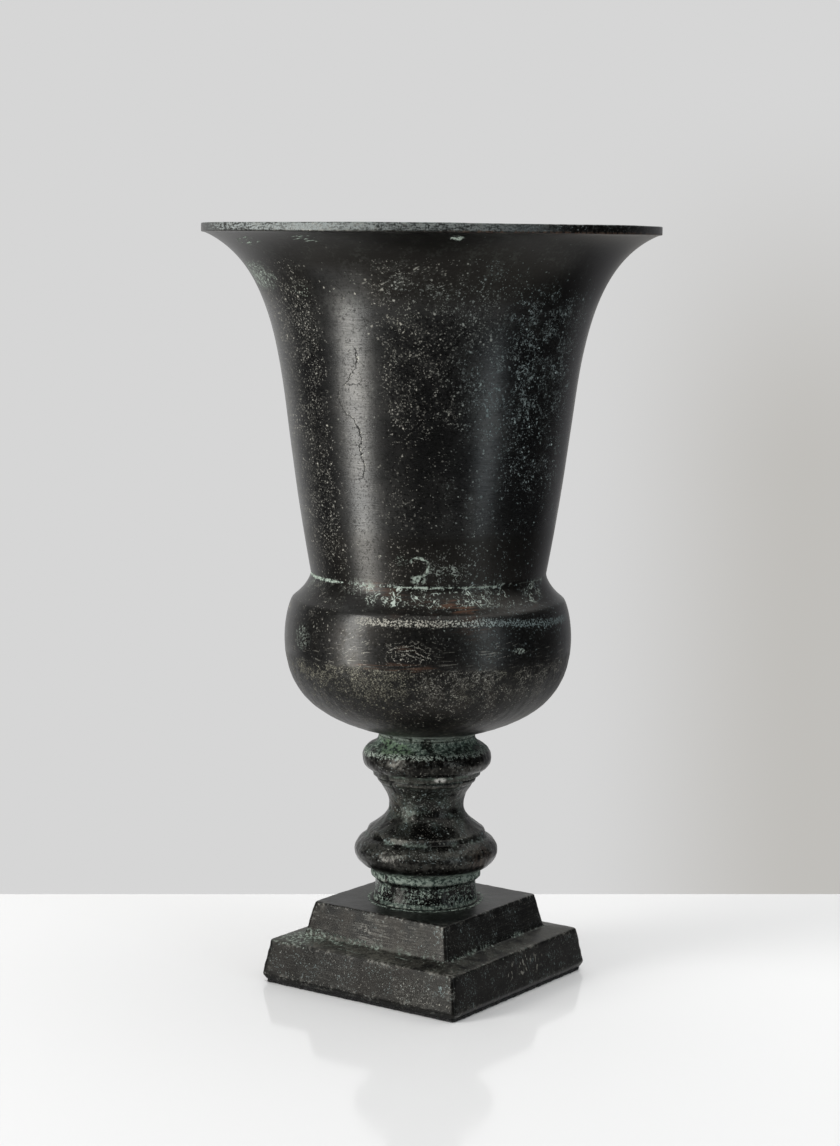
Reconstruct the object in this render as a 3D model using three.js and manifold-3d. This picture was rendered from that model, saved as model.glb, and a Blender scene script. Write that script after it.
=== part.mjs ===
// A footed urn of cast bronze: a flared bowl on a turned stem on a stepped square plinth,
// drawn together by one bolt down the middle and standing on a felt pad.
// Millimetres, +Z up, origin under the middle of the pad.

import * as THREE from 'three';
import { mergeVertices } from 'three/addons/utils/BufferGeometryUtils.js';
import Module from 'manifold-3d';

const wasm = await Module();
wasm.setup();

// The stack from the table up
const padThickness = 2.5;
const plinthHeight = 53.5;
const stemHeight = 116;
const bowlHeight = 348;

// Clearances
const fitGap = 0.3;
const socketEndGap = 1;
const boltHoleGap = 0.5;
const cutOverrun = 2;

// Bowl: rim and flare, heights from the bowl's own foot
const rimRadius = 155;
const rimDepth = 6.2;
const rimOverhang = 2;
const rimBeadWidth = 7;
const rimEase = 1;
const bellRadius = 93.2;
const bellHeight = 192;
const flarePullShares = [[0.144, 0.41], [0.197, 0.865]];

// Bowl: throat, crease and shoulder
const creaseRadius = 80.5;
const creaseHeight = 112.3;
const throatPullShares = [[0.37, 0.315], [0.71, 0.65]];
const shoulderRadius = 92.6;
const shoulderHeight = 95.6;
const shoulderStep = 0.9;
const shoulderPullShares = [[0.07, 0.33], [0.49, 0.73]];

// Bowl: bulb, foot and inside
const bulbRadius = 98.5;
const bulbHeight = 68;
const bulbTopPullShares = [[0, 0.24], [0.234, 0.717]];
const bulbFootRadius = 39.5;
const bulbFootHeight = 3.6;
const bulbUnderPullShares = [[0, 0.697], [0.546, 0.874]];
const neckRadius = 33.3;
const bowlWall = 4.6;
const floorThickness = 14;
const spigotRadius = 20;
const spigotDepth = 6;

// Stem: neck and upper torus, heights from the plinth's top
const neckFlareDrop = 7.2;
const neckFlareReach = 6.2;
const neckPullShares = [[0, 0.556], [0.4, 0.78]];
const upperTorusRadius = 44.5;
const upperTorusHeight = 100.3;
const upperTorusRound = 9.5;
const upperTorusTopTurn = 1.1;
const upperTorusUnderTurn = -0.945;

// Stem: the two rings under the upper torus
const upperRingRadius = 38;
const upperRingHeight = 88;
const upperRingWidth = 4.2;
const lowerRingRadius = 34.8;
const lowerRingWidth = 3.7;
const ringLean = 1;
const ringGroove = 0.7;
const ringEase = 1;

// Stem: the cove
const coveHeadRadius = 32.8;
const coveHeadPullShares = [[0, 0.49], [0.5, 0.645]];
const waistRadius = 26;
const waistHeight = 66.5;
const coveFootRadius = 39.9;
const coveFootHeight = 50;
const coveFootPullShares = [[0.3, 0.18], [1, 0.515]];

// Stem: fillet, lower torus, base ring and drum
const filletRadius = 41.9;
const filletWidth = 4.2;
const filletLean = 1.2;
const lowerTorusRadius = 49.6;
const lowerTorusHeight = 35;
const lowerTorusReach = 16;
const lowerTorusRound = 12.5;
const lowerTorusTopTurn = 0.9;
const lowerTorusUnderTurn = -1.13;
const baseRingRadius = 38.2;
const baseRingHeight = 17.3;
const baseRingWidth = 4.4;
const drumRadius = 34.9;
const drumHeight = 14.6;
const drumFootRadius = 36.3;
const drumPullShares = [[0.7, 0.3], [1, 0.7]];

// Stem: cored inside
const coreFootRadius = 25;
const coreWaistRadius = 18;
const coreHeadRadius = 24;
const corePullShares = [[0, 0.5], [1, 0.5]];
const webThickness = 9;

// Plinth: two tiers over a hollow, heights from the plinth's foot
const lowerTierFootHalf = 79.5;
const lowerTierHalf = 81.2;
const lowerTierTopHalf = 77;
const lowerTierFootRise = 3.3;
const lowerTierHeight = 27.8;
const treadRise = 2.7;
const upperTierFootHalf = 60.6;
const upperTierTopHalf = 55.4;
const plinthCorner = 2.6;
const plinthEase = 1.8;
const treadCove = 1.6;
const plinthWall = 7;
const plinthTopThickness = 6;
const bossRadius = 23;
const bossDepth = 2;
const registerHeight = 3;

// Felt pad
const padInset = 0.6;
const padAccessRadius = 24;

// Bolt, nut and washers
const boltRadius = 5;
const boltPoint = 1;
const boltTail = 3.5;
const boltHeadHeight = 6.4;
const nutHeight = 8;
const hexFlats = 16;
const hexChamferDrop = 0.9;
const sealRadius = 16;
const sealThickness = 2;
const washerRadius = 15;
const washerThickness = 2.5;
const plateWasherRadius = 20;
const plateWasherThickness = 3;
const lockWasherRadius = 9;
const lockWasherThickness = 2.2;
const lockWasherSlit = 2;

// Counts of facets round the pieces
const bowlSides = 56;
const stemSides = 44;
const smallSides = 28;
const hexSides = 6;
const squareSides = 4;
const cornerSteps = 4;
const easeSteps = 2;

// Counts of steps along the bowl's curves, outside and in the well
const flareSteps = 11;
const throatSteps = 3;
const shoulderSteps = 4;
const bulbTopSteps = 4;
const bulbUnderSteps = 8;
const flareWellSteps = 9;
const throatWellSteps = 2;
const shoulderWellSteps = 3;
const bulbTopWellSteps = 2;
const bulbUnderWellSteps = 9;

// Counts of steps along the stem's curves
const neckSteps = 3;
const upperTorusSteps = 6;
const coveHeadSteps = 4;
const coveFootSteps = 5;
const lowerTorusSteps = 7;
const drumSteps = 3;
const coreSteps = 3;

// Levels and sizes worked out from the values above
const plinthLevel = padThickness;
const stemLevel = plinthLevel + plinthHeight;
const bowlLevel = stemLevel + stemHeight;
const sealLevel = bowlLevel + floorThickness;
const washerLevel = sealLevel + sealThickness;
const headLevel = washerLevel + washerThickness;
const plateWasherLevel = stemLevel - plinthTopThickness - bossDepth - plateWasherThickness;
const lockWasherLevel = plateWasherLevel - lockWasherThickness;
const nutLevel = lockWasherLevel - nutHeight;
const boltLength = headLevel - nutLevel + boltTail;
const boltHoleRadius = boltRadius + boltHoleGap;
const hexCornerRadius = hexFlats / 2 / Math.cos(Math.PI / hexSides);

const at = (radius, height) => new THREE.Vector2(radius, height);

// A smooth stretch from start to end. Each pull is a share of the way across and of the way up.
function stretch(start, end, pullShares) {
  const pulls = pullShares.map(([across, up]) => at(
    THREE.MathUtils.lerp(start.x, end.x, across),
    THREE.MathUtils.lerp(start.y, end.y, up),
  ));
  return new THREE.CubicBezierCurve(start, ...pulls, end);
}

// Points beside a stretch, a wall's thickness to its left.
function beside(curve, wall, steps) {
  return Array.from({ length: steps + 1 }, (_, step) => {
    const tangent = curve.getTangent(step / steps);
    const offset = at(-tangent.y, tangent.x).multiplyScalar(wall);
    return curve.getPoint(step / steps).add(offset);
  });
}

// Points on an oval arc between two turns, which are radians up from straight outwards.
function bulge(centre, reach, round, fromTurn, toTurn, steps) {
  return Array.from({ length: steps + 1 }, (_, step) => {
    const turn = THREE.MathUtils.lerp(fromTurn, toTurn, step / steps);
    return at(centre.x + reach * Math.cos(turn), centre.y + round * Math.sin(turn));
  });
}

// A corner eased by a short curve that begins and ends one reach away from it.
function eased(before, corner, after, reach) {
  const start = before.clone().sub(corner).setLength(reach).add(corner);
  const end = after.clone().sub(corner).setLength(reach).add(corner);
  return new THREE.QuadraticBezierCurve(start, corner, end).getPoints(easeSteps);
}

// A falling run of points, ended where it reaches a level.
function endedAt(points, level) {
  const below = points.findIndex(({ y }) => y < level);
  const high = points[below - 1];
  const low = points[below];
  const share = (high.y - level) / (high.y - low.y);
  return [...points.slice(0, below), high.clone().lerp(low, share)];
}

// One outline from points and runs of points, without repeats.
function outline(...runs) {
  return runs.flat().filter((point, index, all) => index === 0 || !point.equals(all[index - 1]));
}

// A body turned about +Z. Its outline goes up the outside, and closes on itself or on the axis.
function turned(points, sides) {
  const closing = points[0].x > 0 ? [points[0]] : [];
  return new THREE.LatheGeometry([...points, ...closing], sides).rotateX(Math.PI / 2);
}

// A ring or washer with a flat foot at height zero.
function ringBody(innerRadius, outerRadius, height) {
  return turned([
    at(innerRadius, 0),
    at(outerRadius, 0),
    at(outerRadius, height),
    at(innerRadius, height),
  ], smallSides);
}

// A plain round disc between two heights.
function disc(radius, bottom, top) {
  return turned([at(0, bottom), at(radius, bottom), at(radius, top), at(0, top)], stemSides);
}

// One level of a square body with rounded corners, as a loop of points.
function squareLoop(half, height, corner) {
  const points = [];
  for (let side = 0; side < squareSides; side += 1) {
    const quarter = side * Math.PI / 2;
    const middle = at(half - corner, half - corner).rotateAround(at(0, 0), quarter);
    for (let step = 0; step <= cornerSteps; step += 1) {
      const turn = quarter + step / cornerSteps * Math.PI / 2;
      points.push(middle.x + corner * Math.cos(turn), middle.y + corner * Math.sin(turn), height);
    }
  }
  return points;
}

// A square body whose half width follows an outline upwards, closed flat at both ends.
function squareBody(levels, corner) {
  const bottom = levels[0].y;
  const top = levels[levels.length - 1].y;
  const loops = levels.flatMap(({ x: half, y: height }) => squareLoop(half, height, corner));
  const positions = [...loops, 0, 0, bottom, 0, 0, top];
  const count = squareSides * (cornerSteps + 1);
  const bottomMiddle = levels.length * count;
  const topMiddle = bottomMiddle + 1;
  const topLoop = bottomMiddle - count;
  const faces = [];
  for (let side = 0; side < count; side += 1) {
    const next = (side + 1) % count;
    faces.push(bottomMiddle, next, side);
    faces.push(topMiddle, topLoop + side, topLoop + next);
    for (let low = 0; low < topLoop; low += count) {
      const high = low + count;
      faces.push(low + side, low + next, high + next);
      faces.push(low + side, high + next, high + side);
    }
  }
  const geometry = new THREE.BufferGeometry();
  geometry.setAttribute('position', new THREE.Float32BufferAttribute(positions, 3));
  geometry.setIndex(faces);
  return geometry;
}

// A closed geometry as a solid that can be joined and cut.
function toSolid(geometry) {
  const bare = geometry.clone();
  bare.deleteAttribute('normal');
  bare.deleteAttribute('uv');
  const merged = mergeVertices(bare);
  const corners = merged.index.array;
  const triangles = [];
  for (let first = 0; first < corners.length; first += 3) {
    const [a, b, c] = corners.slice(first, first + 3);
    if (a !== b && b !== c && c !== a) {
      triangles.push(a, b, c);
    }
  }
  return new wasm.Manifold(new wasm.Mesh({
    numProp: 3,
    vertProperties: new Float32Array(merged.attributes.position.array),
    triVerts: new Uint32Array(triangles),
  }));
}

function fromSolid(body) {
  const { vertProperties, triVerts } = body.getMesh();
  const geometry = new THREE.BufferGeometry();
  geometry.setAttribute('position', new THREE.BufferAttribute(vertProperties, 3));
  geometry.setIndex(new THREE.BufferAttribute(triVerts, 1));
  geometry.computeVertexNormals();
  return geometry;
}

// A hexagonal prism with its foot at height zero and its top corners turned off.
function hexBody(height, footChamferDrop) {
  const shape = new THREE.Shape(Array.from({ length: hexSides }, (_, index) => (
    at(hexCornerRadius, 0).rotateAround(at(0, 0), index * 2 * Math.PI / hexSides)
  )));
  const prism = new THREE.ExtrudeGeometry(shape, { depth: height, bevelEnabled: false });
  const narrow = hexFlats / 2;
  const envelope = turned(outline(
    at(0, 0),
    at(footChamferDrop > 0 ? narrow : hexCornerRadius, 0),
    at(hexCornerRadius, footChamferDrop),
    at(hexCornerRadius, height - hexChamferDrop),
    at(narrow, height),
    at(0, height),
  ), smallSides);
  return toSolid(prism).intersect(toSolid(envelope));
}

// Bowl: foot, bulb, shoulder, throat, flare and rim, then back down the inside to the bolt hole.
function bowlGeometry() {
  const rimUnder = bowlHeight - rimDepth;
  const flareEnd = at(rimRadius - rimOverhang, rimUnder);
  const bulbWidest = at(bulbRadius, bulbHeight);
  const bulbFoot = at(bulbFootRadius, bulbFootHeight);
  const bulbHead = at(shoulderRadius + shoulderStep, shoulderHeight - shoulderStep);
  const shoulderFoot = at(shoulderRadius, shoulderHeight);
  const crease = at(creaseRadius, creaseHeight);
  const bell = at(bellRadius, bellHeight);

  const bulbUnder = stretch(bulbWidest, bulbFoot, bulbUnderPullShares);
  const bulbTop = stretch(bulbWidest, bulbHead, bulbTopPullShares);
  const shoulder = stretch(crease, shoulderFoot, shoulderPullShares);
  const throat = stretch(crease, bell, throatPullShares);
  const flare = stretch(bell, flareEnd, flarePullShares);

  const neckTop = at(neckRadius, bulbFootHeight / 2);
  const outside = outline(
    eased(at(neckRadius, 0), neckTop, bulbFoot, bulbFootHeight / 2),
    bulbUnder.getPoints(bulbUnderSteps).reverse(),
    bulbTop.getPoints(bulbTopSteps),
    shoulder.getPoints(shoulderSteps).reverse(),
    throat.getPoints(throatSteps),
    flare.getPoints(flareSteps),
  );

  const well = outline(
    beside(flare, bowlWall, flareWellSteps).filter(({ x }) => x < rimRadius - rimBeadWidth).reverse(),
    beside(throat, bowlWall, throatWellSteps).reverse(),
    beside(shoulder, -bowlWall, shoulderWellSteps).slice(0, -1),
    beside(bulbTop, bowlWall, bulbTopWellSteps).reverse().slice(1),
    endedAt(beside(bulbUnder, -bowlWall, bulbUnderWellSteps), floorThickness),
  );

  const rimCorner = at(rimRadius, bowlHeight);
  const rimFoot = at(rimRadius, rimUnder);
  const beadCorner = at(rimRadius - rimBeadWidth, bowlHeight);
  const rim = outline(
    eased(flareEnd, rimFoot, rimCorner, rimEase),
    eased(rimFoot, rimCorner, beadCorner, rimEase),
    eased(rimCorner, beadCorner, well[0], rimEase),
  );

  const floorToSpigot = [
    at(boltHoleRadius, floorThickness),
    at(boltHoleRadius, -spigotDepth),
    at(spigotRadius, -spigotDepth),
    at(spigotRadius, 0),
  ];
  return turned(outline(outside, rim, well, floorToSpigot), bowlSides);
}

// Stem: turned mouldings outside, a socket for the bowl's spigot above and a core below.
function stemGeometry() {
  const neckFoot = at(neckRadius + neckFlareReach, stemHeight - neckFlareDrop);
  const neck = stretch(at(neckRadius, stemHeight), neckFoot, neckPullShares);
  const upperTorusCentre = at(upperTorusRadius - upperTorusRound, upperTorusHeight);
  const upperTorus = bulge(
    upperTorusCentre,
    upperTorusRound,
    upperTorusRound,
    upperTorusUnderTurn,
    upperTorusTopTurn,
    upperTorusSteps,
  );

  const grooveRadius = lowerRingRadius - ringGroove;
  const upperRingFoot = at(upperRingRadius - ringLean, upperRingHeight);
  const upperRingHead = at(upperRingRadius, upperRingHeight + upperRingWidth);
  const upperRing = outline(
    at(grooveRadius, upperRingHeight),
    eased(at(grooveRadius, upperRingHeight), upperRingFoot, upperRingHead, ringEase),
    upperRingHead,
  );

  const lowerRingTop = upperRingHeight - ringGroove;
  const lowerRingBottom = lowerRingTop - lowerRingWidth;
  const lowerRingFoot = at(lowerRingRadius - ringLean, lowerRingBottom);
  const lowerRingHead = at(lowerRingRadius, lowerRingTop - ringGroove);
  const lowerRing = outline(
    lowerRingFoot,
    lowerRingHead,
    at(grooveRadius, lowerRingTop),
  );

  const waist = at(waistRadius, waistHeight);
  const coveHead = stretch(waist, at(coveHeadRadius, lowerRingBottom), coveHeadPullShares);
  const coveFoot = stretch(at(coveFootRadius, coveFootHeight), waist, coveFootPullShares);
  const fillet = outline(
    at(filletRadius, coveFootHeight - filletWidth),
    at(filletRadius - filletLean, coveFootHeight - ringEase),
  );
  const lowerTorusCentre = at(lowerTorusRadius - lowerTorusReach, lowerTorusHeight);
  const lowerTorus = bulge(
    lowerTorusCentre,
    lowerTorusReach,
    lowerTorusRound,
    lowerTorusUnderTurn,
    lowerTorusTopTurn,
    lowerTorusSteps,
  );

  const drumHead = at(drumRadius, drumHeight);
  const drum = stretch(at(drumFootRadius, 0), drumHead, drumPullShares);
  const baseRingFoot = at(baseRingRadius, baseRingHeight);
  const baseRingHead = at(baseRingRadius, baseRingHeight + baseRingWidth);
  const outside = outline(
    drum.getPoints(drumSteps),
    eased(drumHead, baseRingFoot, baseRingHead, ringEase),
    baseRingHead,
    lowerTorus,
    fillet,
    coveFoot.getPoints(coveFootSteps),
    coveHead.getPoints(coveHeadSteps),
    lowerRing,
    upperRing,
    upperTorus,
    neck.getPoints(neckSteps).reverse(),
  );

  const socketFloor = stemHeight - spigotDepth - socketEndGap;
  const socket = [
    at(spigotRadius + fitGap, stemHeight),
    at(spigotRadius + fitGap, socketFloor),
    at(boltHoleRadius, socketFloor),
  ];
  const coreHead = at(coreHeadRadius, socketFloor - webThickness);
  const coreWaist = at(coreWaistRadius, waistHeight);
  const core = outline(
    at(boltHoleRadius, coreHead.y),
    stretch(coreHead, coreWaist, corePullShares).getPoints(coreSteps),
    stretch(coreWaist, at(coreFootRadius, drumHeight), corePullShares).getPoints(coreSteps),
    at(coreFootRadius, 0),
  );
  return turned(outline(outside, socket, core), stemSides);
}

// Plinth: two tiers less the hollow underneath, a boss for the nut's washer inside, and a low
// round register on top that centres the stem.
function plinthGeometry() {
  const foot = at(lowerTierFootHalf, 0);
  const skirt = at(lowerTierHalf, lowerTierFootRise);
  const treadEdge = at(lowerTierTopHalf, lowerTierHeight);
  const treadBack = at(upperTierFootHalf, lowerTierHeight + treadRise);
  const topEdge = at(upperTierTopHalf, plinthHeight);
  const tiers = outline(
    foot,
    eased(foot, skirt, treadEdge, plinthEase),
    eased(skirt, treadEdge, treadBack, plinthEase),
    eased(treadEdge, treadBack, topEdge, treadCove),
    eased(treadBack, topEdge, at(0, plinthHeight), plinthEase),
  );
  const ceiling = plinthHeight - plinthTopThickness;
  const hollow = [
    at(lowerTierFootHalf - plinthWall, -cutOverrun),
    at(lowerTierTopHalf - plinthWall, lowerTierHeight - plinthTopThickness),
    at(upperTierFootHalf - plinthWall, treadBack.y - plinthTopThickness),
    at(upperTierTopHalf - plinthWall, ceiling),
  ];
  const boss = disc(bossRadius, ceiling - bossDepth, plinthHeight - plinthTopThickness / 2);
  const register = disc(
    coreFootRadius - fitGap,
    plinthHeight - plinthTopThickness / 2,
    plinthHeight + registerHeight,
  );
  const boltHole = disc(
    boltHoleRadius,
    ceiling - bossDepth - cutOverrun,
    plinthHeight + registerHeight + cutOverrun,
  );
  return fromSolid(
    toSolid(squareBody(tiers, plinthCorner))
      .subtract(toSolid(squareBody(hollow, plinthCorner)))
      .add(toSolid(boss))
      .add(toSolid(register))
      .subtract(toSolid(boltHole)),
  );
}

// Felt pad: a sheet nearly as large as the plinth's foot, with a hole to reach the nut.
function basePadGeometry() {
  const half = lowerTierFootHalf - padInset;
  const sheet = squareBody([at(half, 0), at(half, padThickness)], plinthCorner);
  const access = disc(padAccessRadius, -cutOverrun, padThickness + cutOverrun);
  return fromSolid(toSolid(sheet).subtract(toSolid(access)));
}

// Bolt: chamfered hexagonal head above height zero and a plain pointed shank below it.
function tieBoltGeometry() {
  const shank = turned([
    at(0, -boltLength),
    at(boltRadius - boltPoint, -boltLength),
    at(boltRadius, boltPoint - boltLength),
    at(boltRadius, boltHeadHeight / 2),
    at(0, boltHeadHeight / 2),
  ], smallSides);
  return fromSolid(hexBody(boltHeadHeight, 0).add(toSolid(shank)));
}

function tieNutGeometry() {
  const bore = disc(boltRadius + fitGap, -cutOverrun, nutHeight + cutOverrun);
  return fromSolid(hexBody(nutHeight, hexChamferDrop).subtract(toSolid(bore)));
}

// Lock washer: a flat spring ring with one slit through it.
function lockWasherGeometry() {
  const half = lockWasherSlit / 2;
  const outerTurn = Math.asin(half / lockWasherRadius);
  const innerTurn = Math.asin(half / boltHoleRadius);
  const shape = new THREE.Shape();
  shape.absarc(0, 0, lockWasherRadius, outerTurn, 2 * Math.PI - outerTurn, false);
  shape.absarc(0, 0, boltHoleRadius, 2 * Math.PI - innerTurn, innerTurn, true);
  return new THREE.ExtrudeGeometry(shape, {
    depth: lockWasherThickness,
    bevelEnabled: false,
    curveSegments: smallSides / 2,
  });
}

const finishes = {
  bronze: { color: 0x34332d, roughness: 0.5, metalness: 0.85 },
  felt: { color: 0x0e0e0d, roughness: 1, metalness: 0 },
  rubber: { color: 0x1a1a19, roughness: 0.8, metalness: 0 },
  steel: { color: 0x8d8f90, roughness: 0.4, metalness: 1 },
};

const urn = new THREE.Group();

// One named piece with its foot at a level of the stack.
function place(name, geometry, finish, level) {
  const piece = new THREE.Mesh(geometry, new THREE.MeshStandardMaterial(finish));
  piece.name = name;
  piece.position.z = level;
  urn.add(piece);
}

place('base_pad', basePadGeometry(), finishes.felt, 0);
place('plinth', plinthGeometry(), finishes.bronze, plinthLevel);
place('stem', stemGeometry(), finishes.bronze, stemLevel);
place('bowl', bowlGeometry(), finishes.bronze, bowlLevel);
place('bolt_seal', ringBody(boltHoleRadius, sealRadius, sealThickness), finishes.rubber, sealLevel);
place('bolt_washer', ringBody(boltHoleRadius, washerRadius, washerThickness), finishes.steel, washerLevel);
place('tie_bolt', tieBoltGeometry(), finishes.steel, headLevel);
place(
  'plinth_washer',
  ringBody(boltHoleRadius, plateWasherRadius, plateWasherThickness),
  finishes.steel,
  plateWasherLevel,
);
place('lock_washer', lockWasherGeometry(), finishes.steel, lockWasherLevel);
place('tie_nut', tieNutGeometry(), finishes.steel, nutLevel);

export default urn;
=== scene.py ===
"""A footed urn of dark cast bronze: flared bowl, turned stem, stepped square plinth and felt pad.

Every piece is a grid of levels times turns, worked out whole with numpy. A turned piece carries an
outline round the axis, and a square piece carries it round a square with rounded corners. Turns are
measured from the urn's front, in degrees, and grow to the right.
"""

import functools
import math
import operator

import bpy
import numpy as np
from mathutils import Matrix, Vector


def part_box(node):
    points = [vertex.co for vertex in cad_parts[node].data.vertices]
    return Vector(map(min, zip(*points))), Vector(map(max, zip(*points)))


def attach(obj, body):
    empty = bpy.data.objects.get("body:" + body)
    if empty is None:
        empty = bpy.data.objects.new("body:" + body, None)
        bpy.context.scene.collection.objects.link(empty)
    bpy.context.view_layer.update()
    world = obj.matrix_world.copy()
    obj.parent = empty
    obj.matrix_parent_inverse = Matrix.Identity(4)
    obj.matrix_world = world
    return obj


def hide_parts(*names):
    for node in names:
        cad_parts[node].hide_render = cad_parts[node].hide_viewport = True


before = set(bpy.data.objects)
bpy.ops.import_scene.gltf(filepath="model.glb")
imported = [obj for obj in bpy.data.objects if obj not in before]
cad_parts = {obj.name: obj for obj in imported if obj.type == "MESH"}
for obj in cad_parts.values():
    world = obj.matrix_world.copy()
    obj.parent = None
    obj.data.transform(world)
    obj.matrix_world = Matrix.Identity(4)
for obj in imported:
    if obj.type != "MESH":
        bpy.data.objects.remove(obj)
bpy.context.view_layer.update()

MM = 0.001
BODY = "root"
FRONT_TURN = math.radians(35.17)
FRONT = np.array([math.sin(FRONT_TURN), -math.cos(FRONT_TURN), 0.0])
RIGHT = np.array([math.cos(FRONT_TURN), math.sin(FRONT_TURN), 0.0])

# Levels of the castings' feet, in millimetres, from the frame
SPIGOT_DEPTH = 6.0
PLINTH_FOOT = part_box("plinth")[0].z / MM
STEM_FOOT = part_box("stem")[0].z / MM
BOWL_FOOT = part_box("bowl")[0].z / MM + SPIGOT_DEPTH
RIM_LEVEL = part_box("bowl")[1].z / MM
BOWL_HEIGHT = RIM_LEVEL - BOWL_FOOT
STEM_HEIGHT = BOWL_FOOT - STEM_FOOT
PLINTH_HEIGHT = STEM_FOOT - PLINTH_FOOT

# Bowl, in millimetres, heights from its own foot
RIM_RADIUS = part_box("bowl")[1].x / MM
RIM_DEPTH = 6.2
RIM_OVERHANG = 2.0
RIM_BEAD = 7.0
BELL = (93.2, 192.0)
FLARE_SHARES = ((0.144, 0.41), (0.197, 0.865))
CREASE = (80.5, 112.3)
THROAT_SHARES = ((0.37, 0.315), (0.71, 0.65))
SHOULDER = (92.6, 95.6)
SHOULDER_STEP = 0.9
SHOULDER_SHARES = ((0.07, 0.33), (0.49, 0.73))
BULB = (98.5, 68.0)
BULB_TOP_SHARES = ((0.0, 0.24), (0.234, 0.717))
BULB_FOOT = (39.5, 3.6)
BULB_UNDER_SHARES = ((0.0, 0.697), (0.546, 0.874))
NECK_RADIUS = 33.3
BOWL_WALL = 4.6
WALL_LEAST_SHARE = 0.99
FLOOR_THICKNESS = 14.0
SPIGOT_RADIUS = 20.0
BOLT_HOLE_RADIUS = 5.5

# Stem, in millimetres, heights from its own foot
NECK_FLARE_DROP = 7.2
NECK_FLARE_REACH = 6.2
NECK_SHARES = ((0.0, 0.556), (0.4, 0.78))
UPPER_TORUS = (44.5, 100.3)
UPPER_TORUS_ROUND = (9.5, 9.5)
UPPER_TORUS_TURNS = (-0.945, 1.1)
UPPER_RING = (38.0, 88.0)
UPPER_RING_WIDTH = 4.2
LOWER_RING_RADIUS = 34.8
LOWER_RING_WIDTH = 3.7
RING_LEAN = 1.0
RING_GROOVE = 0.7
COVE_HEAD_RADIUS = 32.8
COVE_HEAD_SHARES = ((0.0, 0.49), (0.5, 0.645))
WAIST = (26.0, 66.5)
COVE_FOOT = (39.9, 50.0)
COVE_FOOT_SHARES = ((0.3, 0.18), (1.0, 0.515))
FILLET_RADIUS = 41.9
FILLET_WIDTH = 4.2
FILLET_LEAN = 1.2
LOWER_TORUS = (49.6, 35.0)
LOWER_TORUS_ROUND = (16.0, 12.5)
LOWER_TORUS_TURNS = (-1.13, 0.9)
BASE_RING = (38.2, 17.3)
BASE_RING_WIDTH = 4.4
DRUM = (34.9, 14.6)
DRUM_FOOT_RADIUS = 36.3
DRUM_SHARES = ((0.7, 0.3), (1.0, 0.7))
SOCKET_GAP = 0.3
SOCKET_DEPTH = 7.0
WEB_THICKNESS = 9.0
CORE_HEAD_RADIUS = 24.0
CORE_WAIST_RADIUS = 18.0
CORE_FOOT_RADIUS = 25.0
CORE_SHARES = ((0.0, 0.5), (1.0, 0.5))

# Plinth, in millimetres, heights from its own foot
LOWER_FOOT_HALF = 79.5
LOWER_HALF = 81.2
LOWER_TOP_HALF = 77.0
LOWER_FOOT_RISE = 3.3
LOWER_HEIGHT = 27.8
TREAD_RISE = 2.7
UPPER_FOOT_HALF = 60.6
UPPER_TOP_HALF = 55.4
PLINTH_CORNER = 2.6
PLINTH_WALL = 7.0
PLINTH_TOP_THICKNESS = 6.0
BOSS_RADIUS = 23.0
BOSS_DEPTH = 2.0
REGISTER_HEIGHT = 3.0
REGISTER_RADIUS = CORE_FOOT_RADIUS - SOCKET_GAP
ROUND_REACH = 6.0
TIER_LEAST_HALF = 50.0
OUTER_SHARE = 0.45

# Felt pad, in millimetres
PAD_INSET = 0.6
PAD_ACCESS_RADIUS = 24.0
PAD_ROUND_REACH = 30.0
FIBRE_COUNT = 1500
FIBRE_LENGTH = 1.7
FIBRE_RADIUS = 0.075
FIBRE_SEED = 77

# Bolt set, in millimetres
BOLT_RADIUS = 5.0
BOLT_POINT = 1.0
THREAD_PITCH = 1.5
THREAD_DEPTH = 0.92
THREAD_LENGTH = 32.0
THREAD_RUNOUT = 4.0
THREAD_LEVELS = 9
HEX_FLATS = 16.0
HEX_CHAMFER_DROP = 0.9
HEX_FACE_INSET = 0.15
NUT_GAP = 0.03
WASHER_EASE = 0.3
LOCK_SLIT = 2.0
LOCK_EASE = 0.25
HEX_CRISP = 24
WASHER_CRISP = 35

# How finely the surfaces are laid out
OUTLINE_STEP = 0.1
CURVE_STEPS = 160
CORNER_REACH = 0.45
STEM_CORNER_REACH = 0.36
WELL_REACH = 2.5
MARK_REACH = 1.3
BOWL_LEVELS = 214
BOWL_TURNS = 460
STEM_LEVELS = 240
STEM_TURNS = 320
PLINTH_LEVELS = 190
PLINTH_TURNS = 320
CORNER_CROWDING = 1.8
SMALL_TURNS = 96
WAVE_COUNT = 14
WAVE_SPREAD = (0.7, 1.4)
BEND_CARE = 6
WELL_CARE = 0.4
CORE_CARE = 0.3
PLINTH_CORNER_REACH = 0.75
PAD_CORNER_REACH = 0.4
PAD_LEVELS = 60
PAD_TURNS = 640
MARK_STRENGTH = 4.5

# Uneven surfaces, in millimetres, with rows of size, wavelength, seed and lift
BOWL_RIPPLE = (0.035, 46, 6, -1)
BOWL_SWAY = (1, 150, 5, 0)
OUT_OF_TRUE = 0.12
CAST_LEVEL = 231
CAST_BORDER = 1.2
CAST_RIPPLES = ((0.05, 9.0, 7, 0), (0.025, 5.5, 8, 0))
CAST_SINK = 0.12
WELL_RIPPLE = (0.12, 24, 9, -1)
SEAT_MARGIN = 1.5
NICK_COUNT = 26
NICK_SEED = 41
STEM_RIPPLES = ((0.10, 38, 15, -1), (0.07, 9, 16, 0), (0.05, 4, 17, 0))
FLAW_TURN = -45.5
FLAW_DEPTH = 0.9
FLAW_BREADTH = 1.0
FLAW_WANDER = (1.5, 7, 18, 0)
BATTERED_TURN = -62
BATTERED_SPAN = 16
BATTERING = (0.25, 12, 19, 0)
UPPER_RINGS_SPAN = 5.5
BASE_RING_SPAN = 3.0
FOOT_FADE = 3.0
HEAD_FADE = 2.0
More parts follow.
